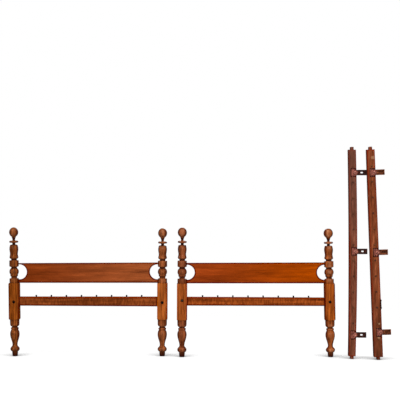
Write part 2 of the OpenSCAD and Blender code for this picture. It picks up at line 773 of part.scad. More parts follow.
// Forged plate, eared at the back and rounded to a nose over the arm
module bracket_plate(side, z) {
  at_side(side)
    at_bracket(z, side)
      translate([0, 0, -plate_t])
        difference() {
          linear_extrude(plate_t)
            union() {
              polygon([[-plate_w, -nose_r], [-plate_w + 6, -plate_h / 2], [-screw_in + 9, -plate_h / 2],
                [-boss_in, -nose_r], [-boss_in, nose_r], [-screw_in + 9, plate_h / 2],
                [-plate_w + 6, plate_h / 2], [-plate_w, nose_r]]);
              translate([-boss_in, 0])
                circle(r = nose_r);
            }
          translate([-boss_in, 0, -over])
            cylinder(d = boss_shank_d + 2 * fit, h = 2 * plate_t);
          for (s = [-1, 1])
            translate([-screw_in, s * ear_off, -over])
              cylinder(d = screw_d / 2 + 2 * fit, h = 2 * plate_t);
        }
}

// Channel-shaped arm: web, two lips and an end lip; slotted on the left rail
module bracket_arm(side, z) {
  reach = side == 0 ? left_reach : right_reach;
  root = boss_in + boss_d / 2 - fit;
  lip_x = nose_r - boss_in + 1;
  at_side(side)
    at_bracket(z, side)
      difference() {
        union() {
          translate([-root, -arm_w / 2, -arm_floor])
            cube([root + reach, arm_w, arm_t]);
          for (s = [-1, 1])
            translate([lip_x, s > 0 ? arm_w / 2 - lip_t : -arm_w / 2, -arm_floor])
              cube([reach - lip_x, lip_t, arm_t + lip_h]);
          translate([reach - lip_t, -arm_w / 2, -arm_floor])
            cube([lip_t, arm_w, arm_t + lip_h]);
        }
        translate([-boss_in, 0, -arm_floor - over])
          cylinder(d = boss_shank_d + 2 * fit, h = 2 * arm_t + over);
        if (side == 0) {
          translate([slot_x - slot_l / 2 + slot_w / 2, -slot_w / 2, -arm_floor - over])
            cube([slot_l - slot_w, slot_w, 2 * arm_t + over]);
          for (s = [-1, 1])
            translate([slot_x + s * (slot_l - slot_w) / 2, 0, -arm_floor - over])
              cylinder(d = slot_w, h = 2 * arm_t + over);
          arm_rivet_pair(fit);
        }
        else
          translate([nose_r, -slot_w / 2, -plate_t - arm_t * 0.4])
            cube([reach - nose_r - 1.5 * lip_t, slot_w, arm_t]);
      }
}

// Two small rivets in an arm, one at each end of its slot
module arm_rivet_pair(gap) {
  for (s = [-1, 1])
    translate([slot_x + s * (slot_l / 2 + rivet_head_d - 1), 0, -arm_floor]) {
      if (gap > 0)
        translate([0, 0, -over])
          cylinder(d = rivet_d + 2 * gap, h = 2 * arm_t + over);
      else {
        cylinder(d = rivet_d, h = arm_t);
        translate([0, 0, arm_t])
          cylinder(d1 = rivet_head_d, d2 = rivet_head_d * 0.6, h = rivet_head_h);
      }
    }
}

// Large round-headed screws through plate, arm and rail
module boss_screws(side, gap) {
  for (z = bracket_heights(side))
    at_bracket(z, side)
      translate([-boss_in, 0, 0]) {
        translate([0, 0, -boss_l - gap])
          cylinder(d = boss_shank_d + 2 * gap, h = boss_l + 2 * gap);
        if (gap == 0)
          difference() {
            rotate_extrude()
              polygon(concat([[0, 0]],
                [for (a = [0 : 15 : 90]) [boss_d / 2 - 4 + 4 * cos(a), boss_h * sin(a)]], [[0, boss_h]]));
            rotate([0, 0, 25])
              translate([-boss_d, -kerf, boss_h / 2])
                cube([2 * boss_d, 2 * kerf, boss_h]);
          }
      }
}

// Small screws in the ears of the plates
module bracket_screws(side, gap) {
  for (z = bracket_heights(side))
    at_bracket(z, side)
      for (s = [-1, 1])
        translate([-screw_in, s * ear_off, 0]) {
          translate([0, 0, -screw_l - gap])
            cylinder(d = screw_d / 2 + 2 * gap, h = screw_l + 2 * gap);
          if (gap == 0)
            difference() {
              cylinder(d1 = screw_d, d2 = screw_d - 3, h = screw_h);
              translate([-screw_d, -kerf / 2, screw_h / 2])
                cube([2 * screw_d, kerf, screw_h]);
            }
        }
}

// Two round-headed screws of the edge plate, or their holes when gap is above 0
module edge_studs(gap) {
  for (s = [-1, 1])
    translate([edge_seat, 0, edge_plate_up + s * (edge_plate_l / 2 - stud_d / 2 - 2)])
      rotate([0, 90, 0]) {
        translate([0, 0, -stud_l - gap])
          cylinder(d = stud_shank_d + 2 * gap, h = stud_l + edge_plate_t + 2 * gap);
        if (gap == 0)
          translate([0, 0, edge_plate_t])
            rotate_extrude()
              polygon(concat([[0, 0]],
                [for (a = [0 : 15 : 90]) [stud_d / 2 * cos(a), stud_h * sin(a)]]));
      }
}

// Square nuts in the pockets of a side rail
module rail_nuts(side) {
  total = side_l + 2 * side_tenon_l;
  at_side(side)
    for (z = [side_tenon_l + nut_in, total - side_tenon_l - nut_in])
      difference() {
        translate([-nut_w / 2, -nut_w / 2, z - nut_t / 2])
          cube([nut_w, nut_w, nut_t]);
        translate([0, 0, z - nut_t])
          cylinder(r = bolt_d / 2 - 0.3, h = 2 * nut_t);
      }
}

// Washer under the head of post i's bolt
module washer(i) {
  beside_post(i)
    translate([0, seat_y, POSTS[i][6]])
      rotate([90, 0, 0])
        difference() {
          cylinder(d = washer_d, h = washer_t);
          translate([0, 0, -over])
            cylinder(r = bolt_bore_r, h = washer_t + 2 * over);
        }
}

// Bed bolt of post i: square head outside, shank through the post, threaded end inside
module bed_bolt(i) {
  beside_post(i)
    translate([0, seat_y - washer_t, POSTS[i][6]])
      rotate([-90, 0, 0]) {
        intersection() {
          translate([-bolt_head_w / 2, -bolt_head_w / 2, -bolt_head_h])
            cube([bolt_head_w, bolt_head_w, bolt_head_h]);
          translate([0, 0, -bolt_head_h])
            cylinder(r1 = bolt_head_w * 0.56, r2 = bolt_head_w * 0.56 + bolt_head_h, h = bolt_head_h);
        }
        cylinder(d = bolt_d, h = bolt_l - thread_l);
        translate([0, 0, bolt_l - thread_l])
          cylinder(d = bolt_d - 1, h = thread_l - 3);
        translate([0, 0, bolt_l - 3])
          cylinder(r1 = bolt_d / 2 - 0.5, r2 = bolt_d / 2 - 2.5, h = 3);
      }
}

// Sub-parts, each with its colour
module head_left_post() color("peru") post(0);
module head_right_post() color("peru") post(1);
module foot_left_post() color("peru") post(2);
module foot_right_post() color("peru") post(3);
module head_panel() color("chocolate") panel(0, 1);
module foot_panel() color("chocolate") panel(2, 3);
module head_rail() color("sienna") end_rail(0, 1);
module foot_rail() color("sienna") end_rail(2, 3);
module head_rope_pegs() color("black") end_pegs(0, 1, 0);
module foot_rope_pegs() color("black") end_pegs(2, 3, 0);
module head_draw_pins() color("saddlebrown") {
  draw_pins(0, 0);
  draw_pins(1, 0);
}
module foot_draw_pins() color("saddlebrown") {
  draw_pins(2, 0);
  draw_pins(3, 0);
}
module left_side_rail() color("saddlebrown") side_rail(0);
module right_side_rail() color("saddlebrown") side_rail(1);
module left_rail_pegs() color("maroon") at_side(0) side_pegs(0, 0);
module right_rail_pegs() color("maroon") at_side(1) side_pegs(1, 0);
module left_rail_nuts() color("dimgray") rail_nuts(0);
module right_rail_nuts() color("dimgray") rail_nuts(1);
module left_low_plate() color("rosybrown") bracket_plate(0, left_low_up);
module left_mid_plate() color("rosybrown") bracket_plate(0, mid_up);
module left_high_plate() color("rosybrown") bracket_plate(0, high_up);
module right_low_plate() color("rosybrown") bracket_plate(1, right_low_up);
module right_mid_plate() color("rosybrown") bracket_plate(1, right_mid_up);
module right_high_plate() color("rosybrown") bracket_plate(1, high_up);
module left_low_arm() color("brown") bracket_arm(0, left_low_up);
module left_mid_arm() color("brown") bracket_arm(0, mid_up);
module left_high_arm() color("brown") bracket_arm(0, high_up);
module right_low_arm() color("brown") bracket_arm(1, right_low_up);
module right_mid_arm() color("brown") bracket_arm(1, right_mid_up);
module right_high_arm() color("brown") bracket_arm(1, high_up);
module left_boss_screws() color("tan") at_side(0) boss_screws(0, 0);
module right_boss_screws() color("tan") at_side(1) boss_screws(1, 0);
module left_plate_screws() color("black") at_side(0) bracket_screws(0, 0);
module right_plate_screws() color("black") at_side(1) bracket_screws(1, 0);
module left_arm_rivets() color("black")
  at_side(0)
    for (z = bracket_heights(0))
      at_bracket(z, 0)
        arm_rivet_pair(0);
module edge_plate() color("black")
  at_side(1)
    difference() {
      translate([edge_seat, -edge_plate_w / 2, edge_plate_up - edge_plate_l / 2])
        cube([edge_plate_t, edge_plate_w, edge_plate_l]);
      edge_studs(fit);
    }
module edge_plate_screws() color("black") at_side(1) edge_studs(0);
module head_left_washer() color("gray") washer(0);
module head_right_washer() color("gray") washer(1);
module foot_left_washer() color("gray") washer(2);
module foot_right_washer() color("gray") washer(3);
module head_left_bolt() color("dimgray") bed_bolt(0);
module head_right_bolt() color("dimgray") bed_bolt(1);
module foot_left_bolt() color("dimgray") bed_bolt(2);
module foot_right_bolt() color("dimgray") bed_bolt(3);

head_left_post();
head_right_post();
foot_left_post();
foot_right_post();
head_panel();
foot_panel();
head_rail();
foot_rail();
head_rope_pegs();
foot_rope_pegs();
head_draw_pins();
foot_draw_pins();
left_side_rail();
right_side_rail();
left_rail_pegs();
right_rail_pegs();
left_rail_nuts();
right_rail_nuts();
left_low_plate();
left_mid_plate();
left_high_plate();
right_low_plate();
right_mid_plate();
right_high_plate();
left_low_arm();
left_mid_arm();
left_high_arm();
right_low_arm();
right_mid_arm();
right_high_arm();
left_boss_screws();
right_boss_screws();
left_plate_screws();
right_plate_screws();
left_arm_rivets();
edge_plate();
edge_plate_screws();
head_left_washer();
head_right_washer();
foot_left_washer();
foot_right_washer();
head_left_bolt();
head_right_bolt();
foot_left_bolt();
foot_right_bolt();
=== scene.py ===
import math
from itertools import product

import bmesh
import bpy
import numpy as np
from bpy.props import FloatProperty, FloatVectorProperty, IntProperty, PointerProperty
from mathutils import Matrix, Vector, noise


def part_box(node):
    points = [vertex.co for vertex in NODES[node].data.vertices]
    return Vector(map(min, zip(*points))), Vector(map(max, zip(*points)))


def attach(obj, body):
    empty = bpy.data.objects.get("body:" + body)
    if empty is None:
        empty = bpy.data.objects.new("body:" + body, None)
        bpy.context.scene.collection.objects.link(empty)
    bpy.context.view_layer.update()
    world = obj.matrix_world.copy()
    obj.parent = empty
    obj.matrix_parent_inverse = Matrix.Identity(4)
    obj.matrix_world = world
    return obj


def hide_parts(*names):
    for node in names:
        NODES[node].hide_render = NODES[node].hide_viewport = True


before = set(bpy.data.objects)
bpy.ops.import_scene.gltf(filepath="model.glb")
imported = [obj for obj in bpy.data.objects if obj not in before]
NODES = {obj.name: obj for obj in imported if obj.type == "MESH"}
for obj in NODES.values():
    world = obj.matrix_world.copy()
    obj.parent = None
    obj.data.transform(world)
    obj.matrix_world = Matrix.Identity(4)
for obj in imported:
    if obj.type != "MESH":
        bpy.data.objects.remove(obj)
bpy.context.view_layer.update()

bl_info = {
    "name": "Knocked-down low-post bed",
    "version": (1, 0, 0),
    "blender": (4, 5, 0),
    "location": "3D View > Sidebar > Bed",
    "description": "Dresses a taken-apart low-post bed in turned maple and forged iron",
    "category": "Object",
}

MM = 0.001
ENDS = {"head": ("head_left", "head_right"), "foot": ("foot_left", "foot_right")}
POSTS = ENDS["head"] + ENDS["foot"]
SIDES = ("left", "right")
HEIGHTS = ("low", "mid", "high")


def paint(*channels):
    """Colour given from 0 to 255 a channel, as the linear values that Blender keeps."""
    return [part / 12.92 if part <= 0.04045 else ((part + 0.055) / 1.055) ** 2.4
            for part in (channel / 255 for channel in channels)]


def size(what, millimetres):
    """Length that a user may change."""
    return FloatProperty(name=what.capitalize(), description=f"Real {what}", unit="LENGTH",
                         default=millimetres * MM, min=0, soft_max=20, precision=4)


def hue(what, *channels):
    """Colour that a user may change."""
    return FloatVectorProperty(name=what.capitalize(), description=f"Colour of the {what}",
                               subtype="COLOR", size=3, min=0, max=1, default=paint(*channels))


def share(what, value, most=1.0):
    """Strength that a user may change."""
    return FloatProperty(name=what.capitalize(), description=f"Strength of the {what}", default=value,
                         min=0, max=most)


class BedStage(bpy.types.PropertyGroup):
    """Camera, lamps and floor."""

    camera_x: size("distance of the camera along the row", 21)
    camera_back: size("distance of the camera in front of the row", 8992)
    camera_up: size("height of the camera", 1388)
    lens: FloatProperty(name="Lens", description="Focal length on a 36 mm sensor", default=91.52,
                        min=10, max=300, unit="CAMERA")
    ambient: share("light from all around", 0.14)
    key: share("small high lamp at the front left", 0.26, 3)
    fill: share("small high lamp at the front right", 0.24, 3)
    front: share("broad lamp beside the camera", 0.68, 3)
    back: share("lamp behind the bed", 0.5, 3)
    floor_glow: share("floor's own brightness", 0.86)
    floor_tone: share("light that the floor throws back", 0.26)
    floor_near: size("distance to which the floor keeps shadows", 1700)
    floor_far: size("distance from which the floor is plain white", 3200)
    floor_half: size("distance from the middle to the floor's edge", 30000)
    contact: size("reach of the shade behind a foot", 190)
    contact_depth: share("shade behind a foot", 2.4, 6)


class BedTurning(bpy.types.PropertyGroup):
    """Sizes of the turned posts and of what is cut into them."""

    block_low: size("height where the square block starts", 326)
    block_high: size("height where the square block ends", 651)
    block_w: size("width of the square block", 90)
    block_edge: size("radius of the block's eased edges", 61)
    block_end: size("radius of the block's turned ends", 43)
    shoulder: size("height of the turned shoulder at a block's end", 13)
    turn_step: size("spacing of the rings along a turning", 2.4)
    sides: IntProperty(name="Sides", description="Faces around a turning", default=96, min=24, max=192)
    dent: size("unevenness of the hand-turned surface", 0.3)
    groove_reach: size("reach of the dark hollow beside a swelling", 30)
    groove_h: size("depth at which a groove is darkest", 12)
    neck_up: size("height above which the grooves are darkest", 900)
    # A crown's paleness is rubbing and painted highlight, palest on the finials.
    crown_h: size("rise of a swelling whose crown is palest", 7)
    ball_up: size("height above which the finials are rubbed palest", 1060)
    toe_h: size("height to which the toes are dark from damp floors", 50)
    # The block's edges are laid red as painted shade, and on two posts pale at the left as painted light.
    worn_in: size("distance from a block's middle to its worn edge", 34)
    worn_w: size("width over which a block's worn edge grows", 6)
    # A dark ring is painted round each bolt's hole as its shadow.
    hole_shadow_r: size("radius of the stain around a bolt's hole", 12)
    hole_shadow_end: size("radius at which that stain has faded", 16)
    counterbore_r: size("radius of the hole for a bolt's head", 11)
    counterbore_h: size("depth of the hole for a bolt's head", 22)
    bore_r: size("radius of the hole for a bolt's shank", 6)
    mortise_w: size("width of the side rail's mortise", 29)
    mortise_h: size("height of the side rail's mortise", 60)
    mortise_l: size("depth of the side rail's mortise", 26)
    rail_up: size("height of the rails' centre line", 488)
    pin_r: size("radius of the draw pins' holes", 4.7)
    pin_in: size("distance of the draw pins from the post's axis", 29.5)
    pin_off: size("distance of a draw pin from the rail's centre line", 15)


class BedBoards(bpy.types.PropertyGroup):
    """Sizes of the panels and rails."""

    panel_t: size("thickness of the panels", 27)
    cut_r: size("radius of a panel's round cut-out", 67)
    cut_up: size("height of the cut-out's centre above the panel's edge", 97)
    # The red rim round a cut-out is painted shade.
    rim_shade_w: size("width of the red varnish around a cut-out", 8)
    rim_shade_end: size("distance at which that red varnish has faded", 13)
    horn_x: size("distance of a panel's horns from the post's axis", 39)
    panel_ease: size("rounding of the panels' edges", 3)
    panel_margin: size("width of the panels' worn edges", 4)
    rail_t: size("depth of the end rails", 70)
    rail_ease: size("rounding of the rails' long edges", 4)
    rail_margin: size("width of the end rails' worn edges", 12)
    low_line: size("width of the red line along a lower edge", 15)
    high_line: size("width of the red line along an upper edge", 9)
    side_l: size("length of a side rail between its shoulders", 1802)
    side_t: size("depth of the side rails", 70)
    side_margin: size("width of the side rails' worn edges", 11)
    tenon_l: size("length of a side rail's tenon", 25)
    tenon_t: size("thickness of a side rail's tenon", 27)
    tenon_w: size("width of a side rail's tenon", 58)
    tenon_ease: size("chamfer of a tenon's edges", 4)
    left_low_w: size("width of the left side rail at its foot", 60)
    left_mid_w: size("width of the left side rail half way up", 68)
    left_top_w: size("width of the left side rail at its top", 65)
    left_bow: size("sideways bow of the left side rail", 10)
    right_low_w: size("width of the right side rail at its foot", 76)
    right_mid_w: size("width of the right side rail half way up", 74)
    right_top_w: size("width of the right side rail at its top", 68)
    right_bow: size("sideways bow of the right side rail", 0)
    right_lean: FloatProperty(name="Right rail's lean", description="Lean of the right side rail",
                              default=math.radians(2.2), subtype="ANGLE")
    wander: size("wander of a board's worn edges", 0.4)
    wander_step: size("spacing of the points on a worn edge", 45)


class BedColours(bpy.types.PropertyGroup):
    """Colours of the woods and irons."""

    head_left: hue("head end's left post", 142, 71, 20)
    head_right: hue("head end's right post", 151, 77, 28)
    foot_left: hue("foot end's left post", 152, 76, 30)
    foot_right: hue("foot end's right post", 156, 76, 24)
    head_panel: hue("head panel at its left", 130, 54, 16)
    head_panel_right: hue("head panel at its right", 158, 80, 40)
    foot_panel: hue("foot panel at its left", 150, 60, 18)
    foot_panel_right: hue("foot panel at its right", 164, 66, 0)
    head_rail: hue("head end's rail", 132, 64, 26)
    foot_rail: hue("foot end's rail", 152, 72, 26)
    left_rail: hue("left side rail", 120, 68, 48)
    left_rail_top: hue("left side rail's faded top", 93, 69, 60)
    right_rail: hue("right side rail", 132, 69, 40)
    right_rail_foot: hue("right side rail's dark foot", 69, 39, 29)
    bruise: hue("right side rail's bruises", 188, 144, 108)
    # Black painted shadow of the edge plate on the rail.
    painted_shadow: hue("black stain beside the edge plate", 29, 13, 10)
    knot: hue("heart of the knot", 29, 16, 10)
    knot_ring: hue("ring around the knot", 85, 41, 18)
    # Dirt and painted shade in grooves and corners.
    hollow: hue("old varnish and dirt in grooves", 44, 7, 5)
    # The red edge colours are painted shade along the edges.
    red_edge_shade: hue("varnish along the boards' edges", 92, 12, 2)
    side_edge: hue("varnish on the side rails' edges", 126, 32, 10)
    red_line_shade: hue("varnish along the end rails' upper edges", 132, 44, 4)
    # The pale edge is painted light on the blocks' left edges.
    lit_pale_edge: hue("edges whose varnish is rubbed off", 184, 88, 0)
    # Rubbing and painted highlight on the turnings' crowns.
    crown: hue("turnings where hands have rubbed them", 204, 142, 104)
    # Bare wood, laid dark as painted shade in the holes.
    inside: hue("bare wood in holes and mortises", 58, 30, 16)
    peg: hue("rope pegs", 34, 18, 13)
    peg_tip: hue("rubbed tips of some rope pegs", 128, 82, 52)
    pin: hue("draw pins", 120, 66, 32)
    plate: hue("rubbed iron plates", 128, 72, 60)
    # The screws' heads are laid pale as painted highlight.
    boss: hue("rubbed heads of the large screws", 168, 104, 90)
    arm: hue("left rail's iron arms", 46, 20, 14)
    worn_arm: hue("right rail's iron arms", 172, 94, 54)
    rust: hue("rust on all irons", 78, 34, 20)
    screw: hue("small screws", 20, 11, 9)
    bolt: hue("bed bolts", 22, 18, 16)


def settings(context):
    """Sizes of the turnings, sizes of the boards, and the colours."""
    scene = context.scene
    return scene.bed_turning, scene.bed_boards, scene.bed_colours


def adjust(thing, **values):
    """Makes several settings of one thing."""
    for key, value in values.items():
        setattr(thing, key, value)
    return thing


class Net:
    """Shader nodes of a material or the sky, with short ways to add more."""

    def __init__(self, owner):
        owner.use_nodes = True
        self.tree = owner.node_tree
        self.tree.nodes.clear()

    def feed(self, socket, value):
        """Links an output to a socket, or writes a plain number or colour into it."""
        if isinstance(value, bpy.types.NodeSocket):
            self.tree.links.new(value, socket)
        elif hasattr(value, "__len__") and len(value) == 3 and socket.type == "RGBA":
            socket.default_value = (*value, 1)
        else:
            socket.default_value = value

    def node(self, kind, inputs=(), **values):
        """New node with its settings made and its inputs fed."""
        made = adjust(self.tree.nodes.new(kind), **values)
        for key, value in dict(inputs).items():
            self.feed(made.inputs[key], value)
        return made

    def sum(self, how, a, b=0.0):
        """Result of one sum."""
        return self.node("ShaderNodeMath", {0: a, 1: b}, operation=how).outputs[0]

    def times(self, first, *others):
        """Product of several values."""
        for other in others:
            first = self.sum("MULTIPLY", first, other)
        return first

    def mixed(self, first, *others):
        """Sum of pairs of a value and its weight."""
        whole = self.times(*first)
        for other in others:
            whole = self.sum("ADD", whole, self.times(*other))
        return whole

    def vector(self, how, *values):
        """Result of one sum of places."""
        made = self.node("ShaderNodeVectorMath", enumerate(values), operation=how)
        return made.outputs["Value" if how in ("DISTANCE", "LENGTH") else "Vector"]

    def step(self, value, low, high, out_low=0.0, out_high=1.0):
        """Smooth step of a value from one range to another."""
        return self.node("ShaderNodeMapRange", {0: value, 1: low, 2: high, 3: out_low, 4: out_high},
                         interpolation_type="SMOOTHSTEP").outputs[0]

    def free(self, reach, samples=6, inside=False, **inputs):
        """1 where no other surface is within reach, and less in corners."""
        return self.node("ShaderNodeAmbientOcclusion", {"Distance": reach, **inputs},
                         samples=samples, inside=inside).outputs["AO"]

    def seen(self):
        """1 for what the camera, a reflection or a look through glass sees, 0 for light."""
        path = self.node("ShaderNodeLightPath").outputs
        first = self.sum("MAXIMUM", path["Is Camera Ray"], path["Is Glossy Ray"])
        return self.sum("MAXIMUM", first, path["Is Transmission Ray"])


class Finish(Net):
    """Material in the making: its shader, its colour so far, and patterns fixed in the piece."""

    def __init__(self, name, specular=0.0, metallic=0.0):
        self.material = bpy.data.materials.new(name)
        super().__init__(self.material)
        self.shader = self.node("ShaderNodeBsdfPrincipled",
                                {"Specular IOR Level": specular, "Metallic": metallic})
        self.node("ShaderNodeOutputMaterial", {"Surface": self.shader.outputs["BSDF"]})
        self.place = self.node("ShaderNodeTexCoord").outputs["Object"]

    def cloud(self, scale, stretch=(1, 1, 1), turn=(0, 0, 0), seed=0.0, detail=4.0, rough=0.55):
        """Noise in the object's own place, from 0 to 1, stretched along the wood's grain."""
        place = self.node("ShaderNodeMapping", {
            "Vector": self.place, "Rotation": turn, "Scale": stretch,
            "Location": (seed, seed * 0.7, seed * 1.3)})
        return self.node("ShaderNodeTexNoise", {
            "Vector": place.outputs[0], "Scale": scale, "Detail": detail,
            "Roughness": rough}).outputs[0]

    def ramp(self, value, *stops):
        """Lays the first colour, by a ramp with stops (position, colour)."""
        made = self.node("ShaderNodeValToRGB", {0: value})
        while len(made.color_ramp.elements) < len(stops):
            made.color_ramp.elements.new(0.5)
        for element, (position, colour) in zip(made.color_ramp.elements, stops):
            element.position = position
            element.color = (*colour, 1)
        self.base = made.outputs[0]

    def blend(self, amount, a, b, how="MIX"):
        """Two colours mixed."""
        return self.node("ShaderNodeMix", {0: amount, 6: a, 7: b}, data_type="RGBA",
                         blend_type=how).outputs[2]

    def lay(self, colour, *amounts):
        """Lays a colour over the colour so far, by the product of its amounts."""
        self.base = self.blend(self.times(*amounts), self.base, colour)

    def dirt_and_shade(self, dirt, reach, amount):
        """Old dirt and painted shade where another surface is within reach, as in corners and round
        fittings.
        """
        self.lay(dirt, self.step(self.free(reach), 0.9, 0.5, 0, amount))

    def mark(self, name):
        """Value that the mesh holds at each point."""
        return self.node("ShaderNodeAttribute", attribute_name=name).outputs["Fac"]

    def axis(self, letter):
        """One coordinate of the object's own place."""
        return self.node("ShaderNodeSeparateXYZ", {0: self.place}).outputs["XYZ".index(letter)]

    def band(self, value, at, width, soft):
        """Band around a value: 1 in its middle, 0 from its width on."""
        off = self.sum("ABSOLUTE", self.sum("SUBTRACT", value, at))
        return self.step(off, width * (1 - soft), width, 1, 0)

    def line(self, start, end, width, soft):
        """Band along a sloping line in X and Z."""
        slope = (end[1] - start[1]) / (end[0] - start[0])
        level = self.sum("SUBTRACT", self.axis("Z"), self.times(self.axis("X"), slope))
        return self.band(level, start[1] - slope * start[0], width, soft)

    def spot(self, at, near, far, flat=True):
        """Spot around a point: 1 within near, 0 beyond far; flat leaves out the depth."""
        place = self.place
        if flat:
            place = self.vector("MULTIPLY", place, (1, 0, 1))
            at = (at[0], 0, at[2])
        return self.step(self.vector("DISTANCE", place, at), near, far, 1, 0)

    def done(self, rough, height, depth, strength):
        """Feeds colour, roughness and bump to the shader, and gives the material."""
        bump = self.node("ShaderNodeBump", {"Strength": strength, "Distance": depth, "Height": height})
        for name, value in (("Base Color", self.base), ("Roughness", rough),
                            ("Normal", bump.outputs[0])):
            self.feed(self.shader.inputs[name], value)
        return self.material


def tint(colour, factor, towards=(1.0, 1.0, 1.0)):
    """Colour made darker or lighter, each channel by its own share."""
    return tuple(min(1.0, channel * factor * way) for channel, way in zip(colour, towards))


class Maple(Finish):
    """Varnished old maple in the making: streaks along the grain and clouds of tone."""

    def __init__(self, name, colour, along, seed, grain=34, contrast=1.0, dull=0.3, shine=0.0):
        super().__init__(name, shine)
        self.colour, self.seed, self.dull = colour, seed, dull
        lie, self.drift = (tuple(squeezed if axis == along else 1 for axis in "XYZ")
                           for squeezed in (0.07, 0.3))
        self.streak = self.cloud(grain, lie, seed=seed, detail=6, rough=0.6)
        self.pores = self.cloud(330, lie, seed=seed + 3, detail=3, rough=0.6)
        self.rub = self.cloud(26, self.drift, seed=seed + 23, detail=4, rough=0.65)
        drifts = self.cloud(7, self.drift, seed=seed + 7, detail=3)
        self.ramp(self.mixed((self.streak, 0.66), (drifts, 0.16), (self.pores, 0.18)),
                  (0.5 - 0.12 / contrast, tint(colour, 0.34, (1.0, 0.85, 0.8))),
                  (0.5 - 0.04 / contrast, tint(colour, 0.76)),
                  (0.5 + 0.03 / contrast, tint(colour, 1.08)),
                  (0.5 + 0.14 / contrast, tint(colour, 1.75, (1.0, 1.08, 1.2))))

    def curl(self, amount, degrees):
        """Curly figure: short flames across the grain, turned by some degrees."""
        flame = self.cloud(86, (1, 1, 0.24), turn=(0, math.radians(degrees), 0), seed=self.seed + 11,
                           detail=3, rough=0.55)
        self.lay(tint(self.colour, 0.45, (1.0, 0.8, 0.7)), self.step(flame, 0.46, 0.62, 0, amount))
        self.lay(tint(self.colour, 1.6, (1.0, 1.1, 1.3)), self.step(flame, 0.46, 0.34, 0, amount * 0.7))

    def mottle(self, amount):
        """Dark and pale blots of old varnish."""
        blot = self.cloud(26, self.drift, seed=self.seed + 19, detail=5, rough=0.65)
        self.lay(tint(self.colour, 0.42, (1.0, 0.75, 0.7)), self.step(blot, 0.5, 0.68, 0, amount))
        self.lay(tint(self.colour, 1.5, (1.0, 1.12, 1.4)), self.step(blot, 0.46, 0.34, 0, amount * 0.6))

    def edge_light_and_shade(self, colour):
        """Edges laid in a colour in patches: red as painted shade, pale as painted light."""
        self.lay(colour, self.mark("worn"), self.step(self.rub, 0.34, 0.6, 0.45, 1))

    def handle(self, crown, amount):
        """Turnings paler on their crowns, as rubbing and painted highlight, and darker red at their sides
        as painted shade.
        """
        self.lay(crown, self.mark("crown"), self.step(self.rub, 0.42, 0.56, 0.3 * amount, amount))
        # Dark red painted shade at the sides.
        self.lay(tint(self.colour, 0.3, (1.0, 0.2, 0.08)), self.step(self.mark("side"), 0, 1, 0, 0.9),
                 self.step(self.rub, 0.3, 0.6, 0.75, 1))

    def varnish(self, hollow, reach=14 * MM, grime_and_shade=0.85):
        """Darkens the hollows and corners with dirt and painted shade, and gives the material."""
        self.lay(hollow, self.step(self.mark("hollow"), 0.05, 1, 0, 0.92))
        self.dirt_and_shade(hollow, reach, grime_and_shade)
        rough = self.step(self.streak, 0.3, 0.7, self.dull + 0.1, self.dull - 0.06)
        return self.done(rough, self.mixed((self.streak, 0.7), (self.pores, 0.3)), 1.2 * MM, 0.35)


def iron(name, colour, rust, seed, cover=0.5, outline=3 * MM, drawn=0.0):
    """Forged iron, rubbed bare in places and rusted in others, with dark rims and corners as painted shade
    and a hammered skin.
    """
    f = Finish(name, specular=0.06, metallic=0.08)
    patch = f.cloud(75, seed=seed, detail=6, rough=0.65)
    grit = f.cloud(420, seed=seed + 5, detail=3, rough=0.6)
    f.ramp(patch, (0.36, tint(colour, 0.4)), (0.5, colour), (0.62, tint(colour, 1.9)))
    f.lay(rust, f.step(f.cloud(48, seed=seed + 9, detail=5, rough=0.7), 0.46, 0.6, 0, cover))
    f.lay(tint(rust, 0.5), f.step(grit, 0.55, 0.75, 0, 0.4))
    if drawn:
        stripe = f.cloud(110, (0.04, 1, 1), seed=seed + 13, detail=2, rough=0.5)
        f.lay(tint(colour, 0.25), f.step(stripe, 0.5, 0.6, 0, drawn))
        f.lay(tint(colour, 2.2), f.step(stripe, 0.48, 0.38, 0, drawn))
    # Painted shadow lines along the rims.
    f.lay(tint(rust, 0.16), f.step(f.free(outline, inside=True), 0.96, 0.6, 0, 0.85))
    # Dirt and painted shade in corners and round fittings.
    f.dirt_and_shade(tint(rust, 0.12), 8 * MM, 0.9)
    rough = f.step(patch, 0.35, 0.65, 0.69, 0.45)
    return f.done(rough, f.mixed((patch, 0.75), (grit, 0.25)), 1 * MM, 0.5)


def placed(name, data, **values):
    """New object, linked into the scene."""
    made = adjust(bpy.data.objects.new(name, data), **values)
    bpy.context.scene.collection.objects.link(made)
    return made


def new_piece(name, mesh, materials):
    """Object of a finished mesh."""
    for material in materials:
        mesh.materials.append(material)
    return placed(name, mesh)


def finished(name, bm):
    """Mesh of what was drawn."""
    mesh = bpy.data.meshes.new(name)
    bm.to_mesh(mesh)
    bm.free()
    return mesh


def smooth(mesh, degrees=32):
    """Smooth shading that keeps edges over the given angle."""
    mesh.shade_smooth()
    mesh.set_sharp_from_angle(angle=math.radians(degrees))


def stand_in(piece, node, body="root"):
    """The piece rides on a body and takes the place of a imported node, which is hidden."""
    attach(piece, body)
    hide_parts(node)


def dress(material, edge, *nodes):
    """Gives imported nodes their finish, and rounds their edges as use and a file leave them."""
    for node in nodes:
        NODES[node].data.materials.clear()
        NODES[node].data.materials.append(material)
        made = NODES[node].modifiers
        if edge:
            adjust(made.new("join", "WELD"), merge_threshold=0.01 * MM)
            adjust(made.new("flat", "DECIMATE"), decimate_type="DISSOLVE", angle_limit=math.radians(1))
            adjust(made.new("ease", "BEVEL"), width=edge, segments=2, limit_method="ANGLE",
                   angle_limit=math.radians(40), harden_normals=False)
            adjust(made.new("even", "WEIGHTED_NORMAL"), keep_sharp=True)


def about(middle, wide):
    """Two limits around a middle."""
    return middle - wide / 2, middle + wide / 2


